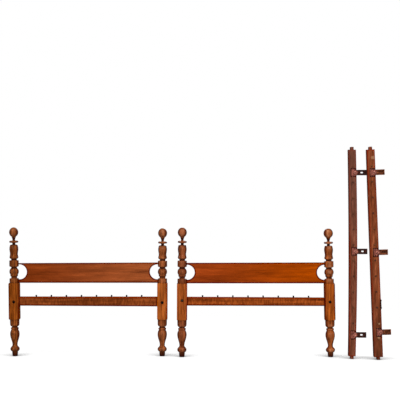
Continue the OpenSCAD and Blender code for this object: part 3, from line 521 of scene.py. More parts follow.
def box_tool(bm, *limits):
    """Closed box in a tool's mesh, between its limits in X, Y and Z."""
    corners = [bm.verts.new(corner) for corner in product(*limits)]
    for face in ((0, 1, 3, 2), (4, 6, 7, 5), (0, 4, 5, 1), (2, 3, 7, 6), (0, 2, 6, 4), (1, 5, 7, 3)):
        bm.faces.new([corners[k] for k in face])


def rod_tool(bm, start, end, radius):
    """Closed rod in a tool's mesh."""
    way = Vector(end) - Vector(start)
    turn = way.to_track_quat("Z", "Y").to_matrix().to_4x4()
    place = Matrix.Translation((Vector(start) + Vector(end)) / 2)
    bmesh.ops.create_cone(bm, cap_ends=True, segments=48, radius1=radius, radius2=radius,
                          depth=way.length, matrix=place @ turn)


def carve(piece, steps, inside):
    """Cuts tools out of a piece or joins them to it. A step is an operation and what draws a tool."""
    tools = []
    for operation, draw in steps:
        bm = bmesh.new()
        draw(bm)
        bmesh.ops.recalc_face_normals(bm, faces=bm.faces)
        skin = inside if operation == "DIFFERENCE" else piece.data.materials[0]
        tools.append(new_piece("tool", finished("tool", bm), [skin]))
        adjust(piece.modifiers.new("carve", "BOOLEAN"), operation=operation, solver="EXACT",
               material_mode="TRANSFER", object=tools[-1])
    depsgraph = bpy.context.evaluated_depsgraph_get()
    mesh = bpy.data.meshes.new_from_object(piece.evaluated_get(depsgraph))
    piece.modifiers.clear()
    piece.data = mesh
    for tool in tools:
        bpy.data.objects.remove(tool)


def points_of(mesh):
    """All points of a mesh as rows of three."""
    co = np.zeros(len(mesh.vertices) * 3)
    mesh.vertices.foreach_get("co", co)
    return co.reshape(-1, 3)


def write_mark(mesh, name, values):
    """Stores a value from 0 to 1 at each point of a mesh."""
    held = mesh.attributes.new(name, "FLOAT", "POINT")
    held.data.foreach_set("value", np.clip(values, 0, 1).astype(np.float32))


def middle(node):
    """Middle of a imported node."""
    return [(low + high) / 2 for low, high in zip(*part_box(node))]


class Post:
    """Place, lean and outline of a turned post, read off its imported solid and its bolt's washer."""

    least_ring = 16

    def __init__(self, name, turning):
        self.name = name
        self.side = 1 if name.endswith("left") else -1
        self.hole = middle(f"{name}_washer")
        self.x, self.depth = self.hole[0], middle(f"{name}_post")[1]
        self.face = self.x + self.side * turning.block_w / 2
        co = np.unique(np.round(points_of(NODES[f"{name}_post"].data), 6), axis=0)
        pivot = np.array([self.x, self.depth, turning.rail_up])
        top = co[co[:, 2].argmax()]
        self.axis = (top - pivot) / np.linalg.norm(top - pivot)
        self.foot = pivot - self.axis * turning.rail_up
        height, off = self.split(co)
        radius = np.linalg.norm(off, axis=1)
        rings, counts = np.unique(np.round(np.stack([height, radius], 1), 4), axis=0,
                                  return_counts=True)
        rings = rings[counts >= self.least_ring]
        spare = 0.5 * MM
        lower = rings[rings[:, 0] < turning.block_low - spare]
        upper = rings[rings[:, 0] > turning.block_high + spare]
        tip = np.linalg.norm(top - self.foot)
        self.lower = np.vstack([[0, lower[0, 1]], lower, [turning.block_low, lower[-1, 1]]])
        self.upper = np.vstack([[turning.block_high, upper[0, 1]], upper, [tip, 0]])

    def split(self, co):
        """Height of points along the leaning axis, and their way off it."""
        height = (co - self.foot) @ self.axis
        return height, co - self.foot - np.outer(height, self.axis)

    def beside(self, height, away):
        """Point at a height, away from the leaning axis towards the boards."""
        return self.foot[0] + self.axis[0] / self.axis[2] * height + self.side * away, height


def eased(outline, step, passes=2):
    """Outline in short even steps, its corners rounded a little as use leaves them."""
    points = [outline[0]]
    for a, b in zip(outline, outline[1:]):
        count = max(1, math.ceil(np.linalg.norm(b - a) / step))
        points += [a + (b - a) * k / count for k in range(1, count + 1)]
    points = np.array(points)
    for _ in range(passes):
        points[1:-1] = (points[:-2] + 2 * points[1:-1] + points[2:]) / 4
    return points


def block_outline(turning):
    """Outline of the square block's eased edges and turned shoulders."""
    swell = turning.block_edge - turning.block_end
    low = [(turning.block_low + turning.shoulder * (1 - math.cos(a)),
            turning.block_end + swell * math.sin(a)) for a in np.linspace(0, math.pi / 2, 10)]
    high = [(turning.block_low + turning.block_high - t, r) for t, r in reversed(low)]
    straight = [(t, turning.block_edge) for t in np.linspace(low[-1][0], high[0][0], 9)[1:-1]]
    return np.array(low + straight + high)


def turned_mesh(post, outline, turning):
    """Mesh of a turning whose block is squared."""
    around = {2 * math.pi * k / turning.sides for k in range(turning.sides)}
    slip = math.acos(turning.block_w / 2 / turning.block_edge)
    around |= {q * math.pi / 2 + s * slip for q in range(4) for s in (1, -1)}
    around = np.array(sorted(a % (2 * math.pi) for a in around))
    across = np.array([post.axis[2], 0.0, -post.axis[0]])
    deep = np.array([0.0, 1.0, 0.0])
    square = turning.block_w / 2 / np.maximum(abs(np.cos(around)), abs(np.sin(around)))
    spread = np.outer(np.cos(around), across) + np.outer(np.sin(around), deep)
    verts = []
    for t, r in outline[:-1]:
        ring = post.foot + post.axis * t + spread * np.minimum(r, square)[:, None]
        drift = [noise.noise(Vector(p) * 16) for p in ring]
        verts.append(ring + spread * (np.array(drift) * turning.dent)[:, None])
    verts = np.vstack(verts + [post.foot + post.axis * outline[-1][0]])
    verts[:, 2] = np.maximum(verts[:, 2], 0)
    n = len(around)
    rows = len(outline) - 1
    faces = [[k * n + j, k * n + (j + 1) % n, (k + 1) * n + (j + 1) % n, (k + 1) * n + j]
             for k in range(rows - 1) for j in range(n)]
    faces += [[(rows - 1) * n + j, (rows - 1) * n + (j + 1) % n, rows * n] for j in range(n)]
    faces.append(list(range(n))[::-1])
    mesh = bpy.data.meshes.new(f"{post.name}_turning")
    mesh.from_pydata(verts.tolist(), [], faces)
    mesh.update()
    return mesh


def mark_turning(mesh, post, outline, turning):
    """Marks the dark hollows for dirt and painted shade, the turnings' sides for painted shade, their
    crowns for rubbing and painted highlight, and the block's edges for painted shade and light.
    """
    height, off = post.split(points_of(mesh))
    radius = np.linalg.norm(off, axis=1)
    in_block = (height > turning.block_low + MM) & (height < turning.block_high - MM)
    capped = np.minimum(outline[:, 1], turning.block_w / 2)
    way = outline[:, 0] - outline[:, :1]
    above = np.where((way >= 0) & (way < turning.groove_reach), capped, 0).max(1)
    below = np.where((way <= 0) & (way > -turning.groove_reach), capped, 0).max(1)
    over = np.interp(height, outline[:, 0], np.minimum(above, below)) - radius
    dark = np.clip((over - MM) / turning.groove_h, 0, 1)
    # Grooves darker for dirt and painted shade, and the toes darker towards the floor.
    dark = np.maximum(dark * np.where(height > turning.neck_up, 1, 0.75),
                      0.7 * (1.6 - height / turning.toe_h))
    aside = abs(off[:, 0]) / np.maximum(radius, MM)
    near = abs(way) < turning.groove_reach
    typical = np.interp(height, outline[:, 0], np.where(near, capped, 0).sum(1) / near.sum(1))
    # Crowns facing front and back, laid pale as rubbing and painted highlight.
    high = np.clip((radius - typical) / turning.crown_h, 0, 1) * np.clip((0.62 - aside) / 0.4, 0, 1)
    high *= np.where(height > turning.ball_up, 1, 0.5)
    # The sides facing along the row are marked for painted shade.
    for name, values in (("hollow", dark), ("side", (aside - 0.6) / 0.3), ("crown", high)):
        write_mark(mesh, name, np.where(in_block, 0, values))
    # The block's edges, for painted shade and painted light.
    corner = np.minimum(abs(off[:, 0]), abs(off[:, 1]))
    write_mark(mesh, "worn", np.where(in_block, (corner - turning.worn_in) / turning.worn_w, 0))


class BED_OT_turn_posts(bpy.types.Operator):
    """Turn the four posts, square their blocks and cut their holes"""

    bl_idname = "bed.turn_posts"
    bl_label = "Turn posts"

    lit_left_edges = ("head_right", "foot_left")
    turned_tone_and_sheen = {"head_left": 0.9, "head_right": 0.8, "foot_left": 0.74, "foot_right": 0.84}
    turned_highlight = {"head_left": 0.2, "head_right": 0.35, "foot_left": 0.25, "foot_right": 1.0}
    hole_shadow = {"head_left": 0.9, "head_right": 0.9, "foot_left": 0.55, "foot_right": 0.95}
    knot_at = (-1.637, 0.018, 0.200)

    def execute(self, context):
        turning, _, colours = settings(context)
        # Inside the holes the wood is laid dark as painted shade.
        bare = Maple("bare_inside", colours.inside, "Z", 41, dull=0.6)
        bare.edge_light_and_shade(colours.red_edge_shade)
        inside = bare.varnish(colours.hollow, reach=40 * MM)
        for number, name in enumerate(POSTS):
            post = Post(name, turning)
            outline = np.vstack([eased(post.lower, turning.turn_step), block_outline(turning),
                                 eased(post.upper, turning.turn_step)])
            square = getattr(colours, name)
            # The turnings take the block's colour, darker, with blue raised as painted sheen.
            turned = tint(square, self.turned_tone_and_sheen[name], (1.0, 1.1, 1.8))
            finish, matt = (self.finish(post, kind, colour, 5 + 13 * number, turning, colours)
                            for kind, colour in (("maple", turned), ("block", square)))
            piece = new_piece(f"{name}_turning", turned_mesh(post, outline, turning), [finish])
            carve(piece, self.holes(post, turning), inside)
            mark_turning(piece.data, post, outline, turning)
            piece.data.materials.append(matt)
            for face in piece.data.polygons:
                up = (face.center - Vector(post.foot)).dot(Vector(post.axis))
                if face.material_index == 0 and turning.block_low < up < turning.block_high:
                    face.material_index = len(piece.data.materials) - 1
            smooth(piece.data)
            stand_in(piece, f"{name}_post")
        return {"FINISHED"}

    def finish(self, post, kind, colour, seed, turning, colours):
        """Glossy mottled finish of the turned parts, or the block's duller and plainer one."""
        glossy = kind == "maple"
        f = Maple(f"{post.name}_{kind}", colour, "Z", seed, grain=68, dull=0.18,
                  contrast=1.3 if glossy else 1.1, shine=0.02 if glossy else 0.0)
        f.mottle(0.7 if glossy else 0.2)
        # Red painted shade along the block's edges.
        edge = colours.red_edge_shade
        # Two posts get painted light on their blocks' left edges and painted shade on the right.
        if post.name in self.lit_left_edges:
            x = float(post.foot[0])
            edge = f.blend(f.step(f.axis("X"), x - 10 * MM, x + 10 * MM), colours.lit_pale_edge,
                           colours.side_edge)
        f.edge_light_and_shade(edge)
        # Painted shadow round the bolt's hole.
        f.lay(tint(colours.bolt, 0.7), f.spot(post.hole, turning.hole_shadow_r, turning.hole_shadow_end),
              self.hole_shadow[post.name])
        if post.name == "head_left":
            f.lay(colours.knot_ring, f.spot(self.knot_at, 6 * MM, 24 * MM, flat=False), 0.3)
            f.lay(colours.knot, f.spot(self.knot_at, 3 * MM, 9 * MM, flat=False), 0.5)
        if glossy:
            # Painted highlight and rubbing on the crowns, painted shade at the sides.
            f.handle(colours.crown, self.turned_highlight[post.name])
        return f.varnish(colours.hollow)

    def holes(self, post, turning):
        """Tools for the bolt's holes, the side rail's mortise and the draw pins' holes."""
        x, y, z = post.x, post.depth, post.hole[2]
        half = turning.block_w / 2
        past = 20 * MM
        pin_x = x + post.side * turning.pin_in

        def sockets(bm):
            rod_tool(bm, (x, y - half - past, z), (x, y - half + turning.counterbore_h, z),
                     turning.counterbore_r)
            box_tool(bm, about(x, turning.mortise_w), (y + half - turning.mortise_l, y + half + past),
                     about(turning.rail_up, turning.mortise_h))
            for up in about(turning.rail_up, 2 * turning.pin_off):
                rod_tool(bm, (pin_x, y, up), (pin_x, y + half + past, up), turning.pin_r)

        def bore(bm):
            rod_tool(bm, (x, y - half - past, z), (x, y + half + past, z), turning.bore_r)

        return [("DIFFERENCE", sockets), ("DIFFERENCE", bore)]


def slab(name, outline, front, back, ease, margin):
    """Board of an outline in X and Z between two depths, with rounded rims and a line at the margin."""
    bm = bmesh.new()
    depths = (front, front + margin, back - margin, back)
    rows = [[bm.verts.new((x, y, z)) for x, z in outline] for y in depths]
    count = len(outline)
    bm.faces.new(rows[0])
    bm.faces.new(rows[-1][::-1])
    for a, b in zip(rows, rows[1:]):
        for j in range(count):
            k = (j + 1) % count
            bm.faces.new([a[j], b[j], b[k], a[k]])
    bmesh.ops.recalc_face_normals(bm, faces=bm.faces)
    rims = [e for e in bm.edges
            if all(v in rows[0] for v in e.verts) or all(v in rows[-1] for v in e.verts)]
    bmesh.ops.bevel(bm, geom=rims, offset=ease, segments=3, profile=0.5, affect="EDGES",
                    clamp_overlap=True)
    faces = [f for f in bm.faces if len(f.verts) >= count]
    bmesh.ops.inset_individual(bm, faces=faces, thickness=margin - ease / 2, use_even_offset=True)
    return finished(name, bm)


def mark_shaded_edges(mesh, outline, front, back, margin):
    """Marks a board's edges, fading inwards over the margin."""
    co = points_of(mesh)
    flat = co[:, (0, 2)]
    a = np.array(outline)
    b = np.roll(a, -1, axis=0)
    way = b - a
    share_along = ((flat[:, None] - a) * way).sum(2) / (way ** 2).sum(1)
    nearest = a + np.clip(share_along, 0, 1)[..., None] * way
    inwards = np.linalg.norm(flat[:, None] - nearest, axis=2).min(1)
    deep = np.minimum(abs(co[:, 1] - front), abs(co[:, 1] - back))
    write_mark(mesh, "worn", 1.5 * (1 - np.maximum(inwards, deep) / margin))


def board(node, outline, depth, thick, ease, margin, material):
    """Board that stands for a packed one between two posts."""
    front, back = about(depth, thick)
    mesh = slab(f"{node}_board", outline, front, back, ease, margin)
    mark_shaded_edges(mesh, outline, front, back, margin)
    smooth(mesh)
    stand_in(new_piece(f"{node}_board", mesh, [material]), node)


def wandering(start, end, boards, seed):
    """Points from start to end, both left out, that stray a little as an old edge does."""
    start, way = Vector(start), Vector(end) - Vector(start)
    count = max(2, round(way.length / boards.wander_step))
    side = Vector((-way.y, way.x)).normalized()
    return [tuple(start + way * k / count
                  + side * boards.wander * noise.noise(Vector((k * 0.7, seed, 0))))
            for k in range(1, count)]


def ends_of(node, posts, beside=100 * MM):
    """Lowest and highest point of a packed board beside each of its posts."""
    co = points_of(NODES[node].data)
    found = []
    for post in posts:
        near = co[abs(co[:, 0] - post.x) < beside, 2]
        found.append((near.min(), near.max()))
    return found


class BED_OT_fit_panels(bpy.types.Operator):
    """Cut the two panels with their round cut-outs and fit them between the posts"""

    bl_idname = "bed.fit_panels"
    bl_label = "Fit panels"

    def execute(self, context):
        turning, boards, colours = settings(context)
        for number, (end, names) in enumerate(ENDS.items()):
            posts = [Post(name, turning) for name in names]
            ends = ends_of(f"{end}_panel", posts)
            finish = self.finish(end, posts, ends, 61 + 17 * number, boards, colours)
            board(f"{end}_panel", self.outline(posts, ends, boards), posts[0].depth, boards.panel_t,
                  boards.panel_ease, boards.panel_margin, finish)
        return {"FINISHED"}

    def finish(self, end, posts, ends, seed, boards, colours):
        """Varnish that changes from left to right, with red painted shade around the cut-outs and along
        the edges.
        """
        left, right = posts
        colour = getattr(colours, f"{end}_panel")
        f = Maple(f"{end}_panel_maple", colour, "X", seed, contrast=0.6)
        f.mottle(0.2)
        # Red painted shade along the panel's edges.
        f.edge_light_and_shade(colours.red_edge_shade)
        # The change is kept at half its size, so that no channel of it passes 1.
        change = [b / a / 2 for a, b in zip(colour, getattr(colours, f"{end}_panel_right"))]
        shade = f.blend(f.step(f.axis("X"), left.face, right.face), (0.5, 0.5, 0.5), change)
        f.base = f.blend(1.0, f.base, f.blend(1.0, shade, (2.0, 2.0, 2.0), "MULTIPLY"), "MULTIPLY")
        patchy = f.step(f.rub, 0.36, 0.62, 0.8, 1)
        # Red rims of painted shade round the cut-outs.
        for post, (low, _) in zip(posts, ends):
            centre = (post.face, post.depth, low + boards.cut_up)
            f.lay(colours.red_edge_shade, patchy,
                  f.spot(centre, boards.cut_r + boards.rim_shade_w, boards.cut_r + boards.rim_shade_end))
        # Red lines of painted shade along the lower and upper edges.
        for (start, stop), width in zip(zip(*ends), (boards.low_line, boards.high_line)):
            f.lay(colours.red_edge_shade, patchy, f.line((left.face, start), (right.face, stop), width, 0.3))
        return f.varnish(colours.hollow)

    def outline(self, posts, ends, boards):
        """Panel's outline: long edges that wander a little and a round cut-out at each end."""
        def end(post, low, high):
            up = low + boards.cut_up
            arc = [(post.face + post.side * boards.cut_r * math.cos(a), up + boards.cut_r * math.sin(a))
                   for a in np.radians(np.linspace(-95, 95, 27))]
            return [post.beside(low, boards.horn_x), *arc, post.beside(high, boards.horn_x)]

        left, right = (end(post, *span) for post, span in zip(posts, ends))
        bottom = wandering(right[0], left[0], boards, 1)
        top = wandering(left[-1], right[-1], boards, 2)
        return left + top + right[::-1] + bottom


class BED_OT_fit_end_rails(bpy.types.Operator):
    """Cut the two end rails and fit them between the posts' blocks"""

    bl_idname = "bed.fit_end_rails"
    bl_label = "Fit end rails"

    curl_turn = {"head": -32, "foot": 35}

    def execute(self, context):
        turning, boards, colours = settings(context)
        seat = turning.block_w / 2
        for number, (end, names) in enumerate(ENDS.items()):
            left, right = (Post(name, turning) for name in names)
            left_span, right_span = ends_of(f"{end}_rail", (left, right))
            left_low, left_high = (left.beside(z, seat) for z in left_span)
            right_low, right_high = (right.beside(z, seat) for z in right_span)
            top = wandering(left_high, right_high, boards, 3 + number)
            bottom = wandering(right_low, left_low, boards, 5 + number)
            f = Maple(f"{end}_rail_maple", getattr(colours, f"{end}_rail"), "X", 103 + 19 * number,
                      dull=0.4)
            f.curl(0.6, self.curl_turn[end])
            # Red painted shade along the edges, with lines of it along the lower and upper edges.
            f.edge_light_and_shade(colours.red_edge_shade)
            patchy = f.step(f.rub, 0.36, 0.62, 0.6, 1)
            f.lay(colours.red_edge_shade, patchy, f.line(left_low, right_low, boards.low_line, 0.35))
            f.lay(colours.red_line_shade, patchy, f.line(left_high, right_high, boards.high_line, 0.35))
            outline = [left_low, left_high, *top, right_high, right_low, *bottom]
            board(f"{end}_rail", outline, left.depth, boards.rail_t, boards.rail_ease,
                  boards.rail_margin, f.varnish(colours.hollow))
        return {"FINISHED"}


def side_edge(side, boards, up, way):
    """Edge of a side rail's face at a share of its height, to the right (1) or the left (-1)."""
    low, mid, top, bow = (getattr(boards, f"{side}_{part}") for part in ("low_w", "mid_w", "top_w", "bow"))
    width = low * (1 - up) * (1 - 2 * up) + 4 * mid * up * (1 - up) + top * up * (2 * up - 1)
    return 4 * bow * up * (1 - up) + way * width / 2


def side_frame(side, boards):
    """Place of a side rail's own frame, found from its nuts."""
    half = boards.tenon_l + boards.side_l / 2
    lean = -boards.right_lean if side == "right" else 0.0
    return (Matrix.Translation(middle(f"{side}_rail_nuts")) @ Matrix.Rotation(lean, 4, "Y")
            @ Matrix.Translation((0, 0, -half)))


class BED_OT_fit_side_rails(bpy.types.Operator):
    """Cut the two side rails with their tenons, sinkings, nut pockets and bores"""

    bl_idname = "bed.fit_side_rails"
    bl_label = "Fit side rails"

    plate_in: size("reach of a plate's sinking from the edge", 51)
    plate_h: size("height of a plate's sinking", 78)
    plate_t: size("depth of a plate's sinking", 4)
    root_in: size("reach of an arm's sinking from the edge", 29)
    root_h: size("height of an arm's sinking", 48.4)
    root_t: size("depth of an arm's sinking", 8)
    nut_in: size("distance of a nut from the shoulder", 75)
    nut_w: size("width of a nut's pocket", 20.4)
    nut_t: size("height of a nut's pocket", 11.4)
    bore_r: size("radius of the bolt's bore", 6)
    bore_l: size("length of the bolt's bore from the tenon's end", 136)

    # Place, radius and strength of the right rail's pale bruises.
    bruises = (((1.518, 0, 1.756), 20 * MM, 0.5), ((1.574, 0, 0.315), 11 * MM, 0.8),
               ((1.570, 0, 0.192), 13 * MM, 0.8))

    def execute(self, context):
        _, boards, colours = settings(context)
        inside = bpy.data.materials["bare_inside"]
        shares = np.linspace(0, 1, 37)
        front, back = about(0, boards.side_t)
        for number, side in enumerate(SIDES):
            outline = [(side_edge(side, boards, up, way), boards.tenon_l + boards.side_l * up)
                       for way in (1, -1) for up in shares[::way]]
            f = Maple(f"{side}_side_maple", getattr(colours, f"{side}_rail"), "Z", 151 + 23 * number,
                      grain=60, dull=0.46)
            f.curl(0.3, 70)
            # Red painted shade along the side rail's edges.
            f.edge_light_and_shade(colours.side_edge)
            if side == "left":
                f.lay(colours.left_rail_top, f.step(f.axis("Z"), 0.9, 1.5, 0, 0.35))
            else:
                self.age(f, colours)
            finish = f.varnish(colours.hollow, reach=7 * MM, grime_and_shade=0.35)
            mesh = slab(f"{side}_side_board", outline, front, back, boards.rail_ease, boards.side_margin)
            piece = new_piece(f"{side}_side_board", mesh, [finish])
            carve(piece, self.cuts(side, boards), inside)
            mark_shaded_edges(piece.data, outline, front, back, boards.side_margin)
            piece.data.transform(side_frame(side, boards))
            smooth(piece.data)
            stand_in(piece, f"{side}_side_rail")
        return {"FINISHED"}

    def age(self, f, colours):
        """Darker foot, pale bruises and a black painted shadow beside the edge plate, on the right rail.
        """
        f.lay(colours.right_rail_foot, f.step(f.axis("Z"), 0.6, 0.15, 0, 0.4))
        for place, radius, strength in self.bruises:
            f.lay(colours.bruise, f.spot(place, radius * 0.4, radius), strength)
        low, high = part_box("edge_plate")
        inset, wide, past = 7.5 * MM, 11 * MM, 6 * MM
        start, end = (high.x - inset, low.z), (low.x, high.z)
        steep = abs((end[1] - start[1]) / (end[0] - start[0]))
        # Black painted shadow of the edge plate on the wood beside it.
        f.lay(colours.painted_shadow, f.line(start, end, wide * steep, 0.5),
              f.band(f.axis("Z"), (low.z + high.z) / 2, (high.z - low.z) / 2 + past, 0.12))

    def cuts(self, side, boards):
        """Tools for the tenons, the plates' and arms' sinkings, the nuts' pockets and the bores."""
        total = boards.side_l + 2 * boards.tenon_l
        face = -boards.side_t / 2
        past, grip = 30 * MM, 20 * MM
        to_own = side_frame(side, boards).inverted()
        brackets = []
        for height in HEIGHTS:
            z = (to_own @ Vector(middle(f"{side}_{height}_plate"))).z
            brackets.append((side_edge(side, boards, (z - boards.tenon_l) / boards.side_l, 1), z))

        def tenons(bm):
            for low, high in ((0, boards.tenon_l + grip), (total - boards.tenon_l - grip, total)):
                box_tool(bm, about(0, boards.tenon_t), about(0, boards.tenon_w), (low, high))
            bmesh.ops.bevel(bm, geom=bm.edges[:], offset=boards.tenon_ease, segments=2, profile=0.5,
                            affect="EDGES")

        def sink(bm, inwards, tall, deep):
            for x, z in brackets:
                box_tool(bm, (x - inwards, x + past), (face - past, face + deep), about(z, tall))

        def shallow(bm):
            sink(bm, self.plate_in, self.plate_h, self.plate_t)
            for z in (boards.tenon_l + self.nut_in, total - boards.tenon_l - self.nut_in):
                box_tool(bm, (-self.nut_w / 2, boards.side_t), about(0, self.nut_w), about(z, self.nut_t))

        def deep(bm):
            sink(bm, self.root_in, self.root_h, self.root_t)
            rod_tool(bm, (0, 0, -past), (0, 0, self.bore_l), self.bore_r)
            rod_tool(bm, (0, 0, total + past), (0, 0, total - self.bore_l), self.bore_r)

        return [("UNION", tenons), ("DIFFERENCE", shallow), ("DIFFERENCE", deep)]


class BED_OT_set_pegs(bpy.types.Operator):
    """Stain the rope pegs and the draw pins"""

    bl_idname = "bed.set_pegs"
    bl_label = "Set pegs"

    rubbed_tips = {"head_rope_pegs": 0.0, "foot_rope_pegs": 0.0, "left_rail_pegs": 0.45,
                   "right_rail_pegs": 0.6}

    def execute(self, context):
        _, _, colours = settings(context)
        for number, (name, rubbed) in enumerate(self.rubbed_tips.items()):
            f = Finish(f"{name}_wood")
            grain = f.cloud(240, seed=number, detail=5, rough=0.65)
            peg = tint(colours.peg, 5.5 if rubbed else 0.3)
            f.ramp(grain, (0.35, tint(peg, 0.5)), (0.55, peg), (0.75, tint(peg, 2)))
            f.lay(colours.peg_tip, f.step(f.cloud(7, seed=number + 31, detail=1), 0.5, 0.62, 0, rubbed))
            dress(f.done(f.step(grain, 0.3, 0.7, 0.7, 0.5), grain, 0.8 * MM, 0.6), 0, name)
        pin = Maple("pin_maple", colours.pin, "Z", 211, dull=0.55).varnish(colours.hollow)
        dress(pin, 0, *(f"{end}_draw_pins" for end in ENDS))
        return {"FINISHED"}


class BED_OT_forge_brackets(bpy.types.Operator):
    """Finish the six iron brackets and the edge plate, with their screws and rivets"""

    bl_idname = "bed.forge_brackets"
    bl_label = "Forge brackets"

    edge: size("rounding of the brackets' forged edges", 0.9)
    small_edge: size("rounding of the small edge plate", 0.5)

    def execute(self, context):
        _, _, colours = settings(context)
        rust = colours.rust
        plate = iron("rubbed_plate_iron", colours.plate, rust, 1, cover=0.35, outline=3.6 * MM)
        arms = {"left": iron("rusty_arm_iron", colours.arm, rust, 2, cover=0.6),
                "right": iron("worn_arm_iron", colours.worn_arm, rust, 3, cover=0.3, outline=5 * MM,
                              drawn=0.8)}
        # Pale screws' heads as painted highlight.
        boss = iron("rubbed_boss_iron", colours.boss, rust, 6, cover=0.2, outline=2 * MM)
        screw = iron("screw_iron", colours.screw, tint(rust, 0.5), 4)
        for side in SIDES:
            for height in HEIGHTS:
                dress(plate, self.edge, f"{side}_{height}_plate")
                dress(arms[side], self.edge, f"{side}_{height}_arm")
            dress(boss, self.edge / 2, f"{side}_boss_screws")
            dress(screw, self.edge / 3, f"{side}_plate_screws")
        dress(screw, self.edge / 3, "left_arm_rivets")
        dark = iron("edge_plate_iron", tint(colours.screw, 0.5), tint(rust, 0.15), 7, cover=0.3)
        dress(dark, self.small_edge, "edge_plate", "edge_plate_screws")
        return {"FINISHED"}


class BED_OT_finish_bolts(bpy.types.Operator):
    """Finish the bed bolts, their washers and their nuts"""

    bl_idname = "bed.finish_bolts"
    bl_label = "Finish bolts"

    bolt_edge: size("rounding of the bolts' and washers' edges", 0.5)
    nut_edge: size("rounding of the nuts' edges", 0.6)

    def execute(self, context):
        _, _, colours = settings(context)
        dark = iron("bolt_iron", tint(colours.bolt, 0.5), tint(colours.rust, 0.2), 11, cover=0.4)
        grey = iron("grey_bolt_iron", tint(colours.bolt, 5, (0.9, 1.25, 1.0)), tint(colours.rust, 0.4),
                    12, cover=0.25)
        for post in POSTS:
            dress(grey if post == "foot_left" else dark, self.bolt_edge, f"{post}_washer", f"{post}_bolt")
        dress(dark, self.nut_edge, *(f"{side}_rail_nuts" for side in SIDES))
        return {"FINISHED"}


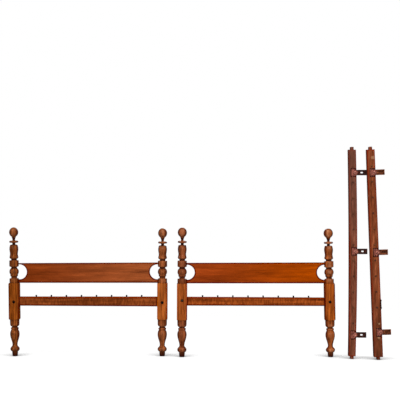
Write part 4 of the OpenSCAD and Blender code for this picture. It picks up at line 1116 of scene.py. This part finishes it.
class BED_OT_lay_stage(bpy.types.Operator):
    """Set up the camera, the lamps and the white floor"""

    bl_idname = "bed.lay_stage"
    bl_label = "Lay stage"

    # Place and width of each lamp, and the point that all of them face.
    lamps = {"key": ((-4.4, -4.4, 8.4), 0.75), "fill": ((4.4, -4.4, 8.4), 0.75),
             "front": ((0.3, -8.8, 2.5), 2.4), "back": ((1.0, 6.5, 4.6), 4.0)}
    aim = (0, 0, 0.8)

    def execute(self, context):
        stage = context.scene.bed_stage
        scene = context.scene
        scene.view_settings.view_transform = "Standard"
        camera = adjust(bpy.data.cameras.new("camera"), lens=stage.lens, sensor_width=36, clip_end=100)
        scene.camera = placed("camera", camera, rotation_euler=(math.pi / 2, 0, 0),
                              location=(stage.camera_x, -stage.camera_back, stage.camera_up))
        for name, (place, wide) in self.lamps.items():
            self.lamp(name, Vector(place), wide, getattr(stage, name))
        self.sky(scene, stage)
        self.floor(stage)
        return {"FINISHED"}

    def lamp(self, name, place, wide, part):
        """Square lamp, as strong as a share of the light at which a colour shows as written."""
        way = Vector(self.aim) - place
        light = adjust(bpy.data.lights.new(name, "AREA"), size=wide,
                       energy=part * (math.pi * way.length) ** 2)
        placed(name, light, location=place, rotation_euler=way.to_track_quat("-Z", "Y").to_euler())

    def sky(self, scene, stage):
        """White all around for the camera, and a plain soft light from everywhere."""
        scene.world = bpy.data.worlds.new("sky")
        net = Net(scene.world)
        light, white = (net.node("ShaderNodeBackground", {"Color": (1, 1, 1), "Strength": strength})
                        for strength in (stage.ambient, 1.0))
        mixed = net.node("ShaderNodeMixShader", {0: net.seen(), 1: light.outputs[0], 2: white.outputs[0]})
        net.node("ShaderNodeOutputWorld", {"Surface": mixed.outputs[0]})

    def floor(self, stage):
        """Pale floor that shows white and keeps faint shadows near the bed."""
        half = stage.floor_half
        mesh = bpy.data.meshes.new("floor")
        mesh.from_pydata([(-half, -half, 0), (half, -half, 0), (half, half, 0), (-half, half, 0)], [],
                         [(0, 1, 2, 3)])
        material = bpy.data.materials.new("floor_white")
        net = Net(material)
        place = net.node("ShaderNodeTexCoord").outputs["Object"]
        gap = net.vector("LENGTH", net.vector("MULTIPLY", place, (0.5, 1, 0)))
        tone = net.step(gap, stage.floor_near, stage.floor_far, stage.floor_tone, 0)
        shown = net.step(gap, stage.floor_near, stage.floor_far, stage.floor_glow, 1)
        forward = net.vector("NORMALIZE", (0, -0.85, 0.53))
        free = net.free(stage.contact, samples=8, Normal=forward)
        shade = net.sum("POWER", free, stage.contact_depth)
        plain = net.node("ShaderNodeBsdfDiffuse", {"Color": tone})
        glow = net.node("ShaderNodeEmission", {"Strength": net.times(net.seen(), net.times(shown, shade))})
        both = net.node("ShaderNodeAddShader", {0: plain.outputs[0], 1: glow.outputs[0]})
        net.node("ShaderNodeOutputMaterial", {"Surface": both.outputs[0]})
        new_piece("floor", mesh, [material])


class BED_PT_bed(bpy.types.Panel):
    """Lists the steps and the sizes and colours behind them"""

    bl_idname = "BED_PT_bed"
    bl_label = "Low-post bed"
    bl_space_type = "VIEW_3D"
    bl_region_type = "UI"
    bl_category = "Bed"

    def draw(self, context):
        for operator in OPERATORS:
            self.layout.operator(operator.bl_idname)
        for name in GROUPS:
            group = getattr(context.scene, name)
            self.layout.label(text=group.bl_rna.description)
            for key in group.bl_rna.properties.keys():
                if key not in ("rna_type", "name"):
                    self.layout.prop(group, key)


OPERATORS = (BED_OT_lay_stage, BED_OT_turn_posts, BED_OT_fit_panels, BED_OT_fit_end_rails,
             BED_OT_fit_side_rails, BED_OT_set_pegs, BED_OT_forge_brackets, BED_OT_finish_bolts)
GROUPS = {"bed_stage": BedStage, "bed_turning": BedTurning, "bed_boards": BedBoards,
          "bed_colours": BedColours}
CLASSES = (*GROUPS.values(), *OPERATORS, BED_PT_bed)


def register():
    for made in CLASSES:
        bpy.utils.register_class(made)
    for name, group in GROUPS.items():
        setattr(bpy.types.Scene, name, PointerProperty(type=group))


def unregister():
    for name in GROUPS:
        delattr(bpy.types.Scene, name)
    for made in reversed(CLASSES):
        bpy.utils.unregister_class(made)


def main():
    register()
    bpy.ops.bed.lay_stage()
    bpy.ops.bed.turn_posts()
    bpy.ops.bed.fit_panels()
    bpy.ops.bed.fit_end_rails()
    bpy.ops.bed.fit_side_rails()
    bpy.ops.bed.set_pegs()
    bpy.ops.bed.forge_brackets()
    bpy.ops.bed.finish_bolts()


if __name__ == "__main__":
    main()
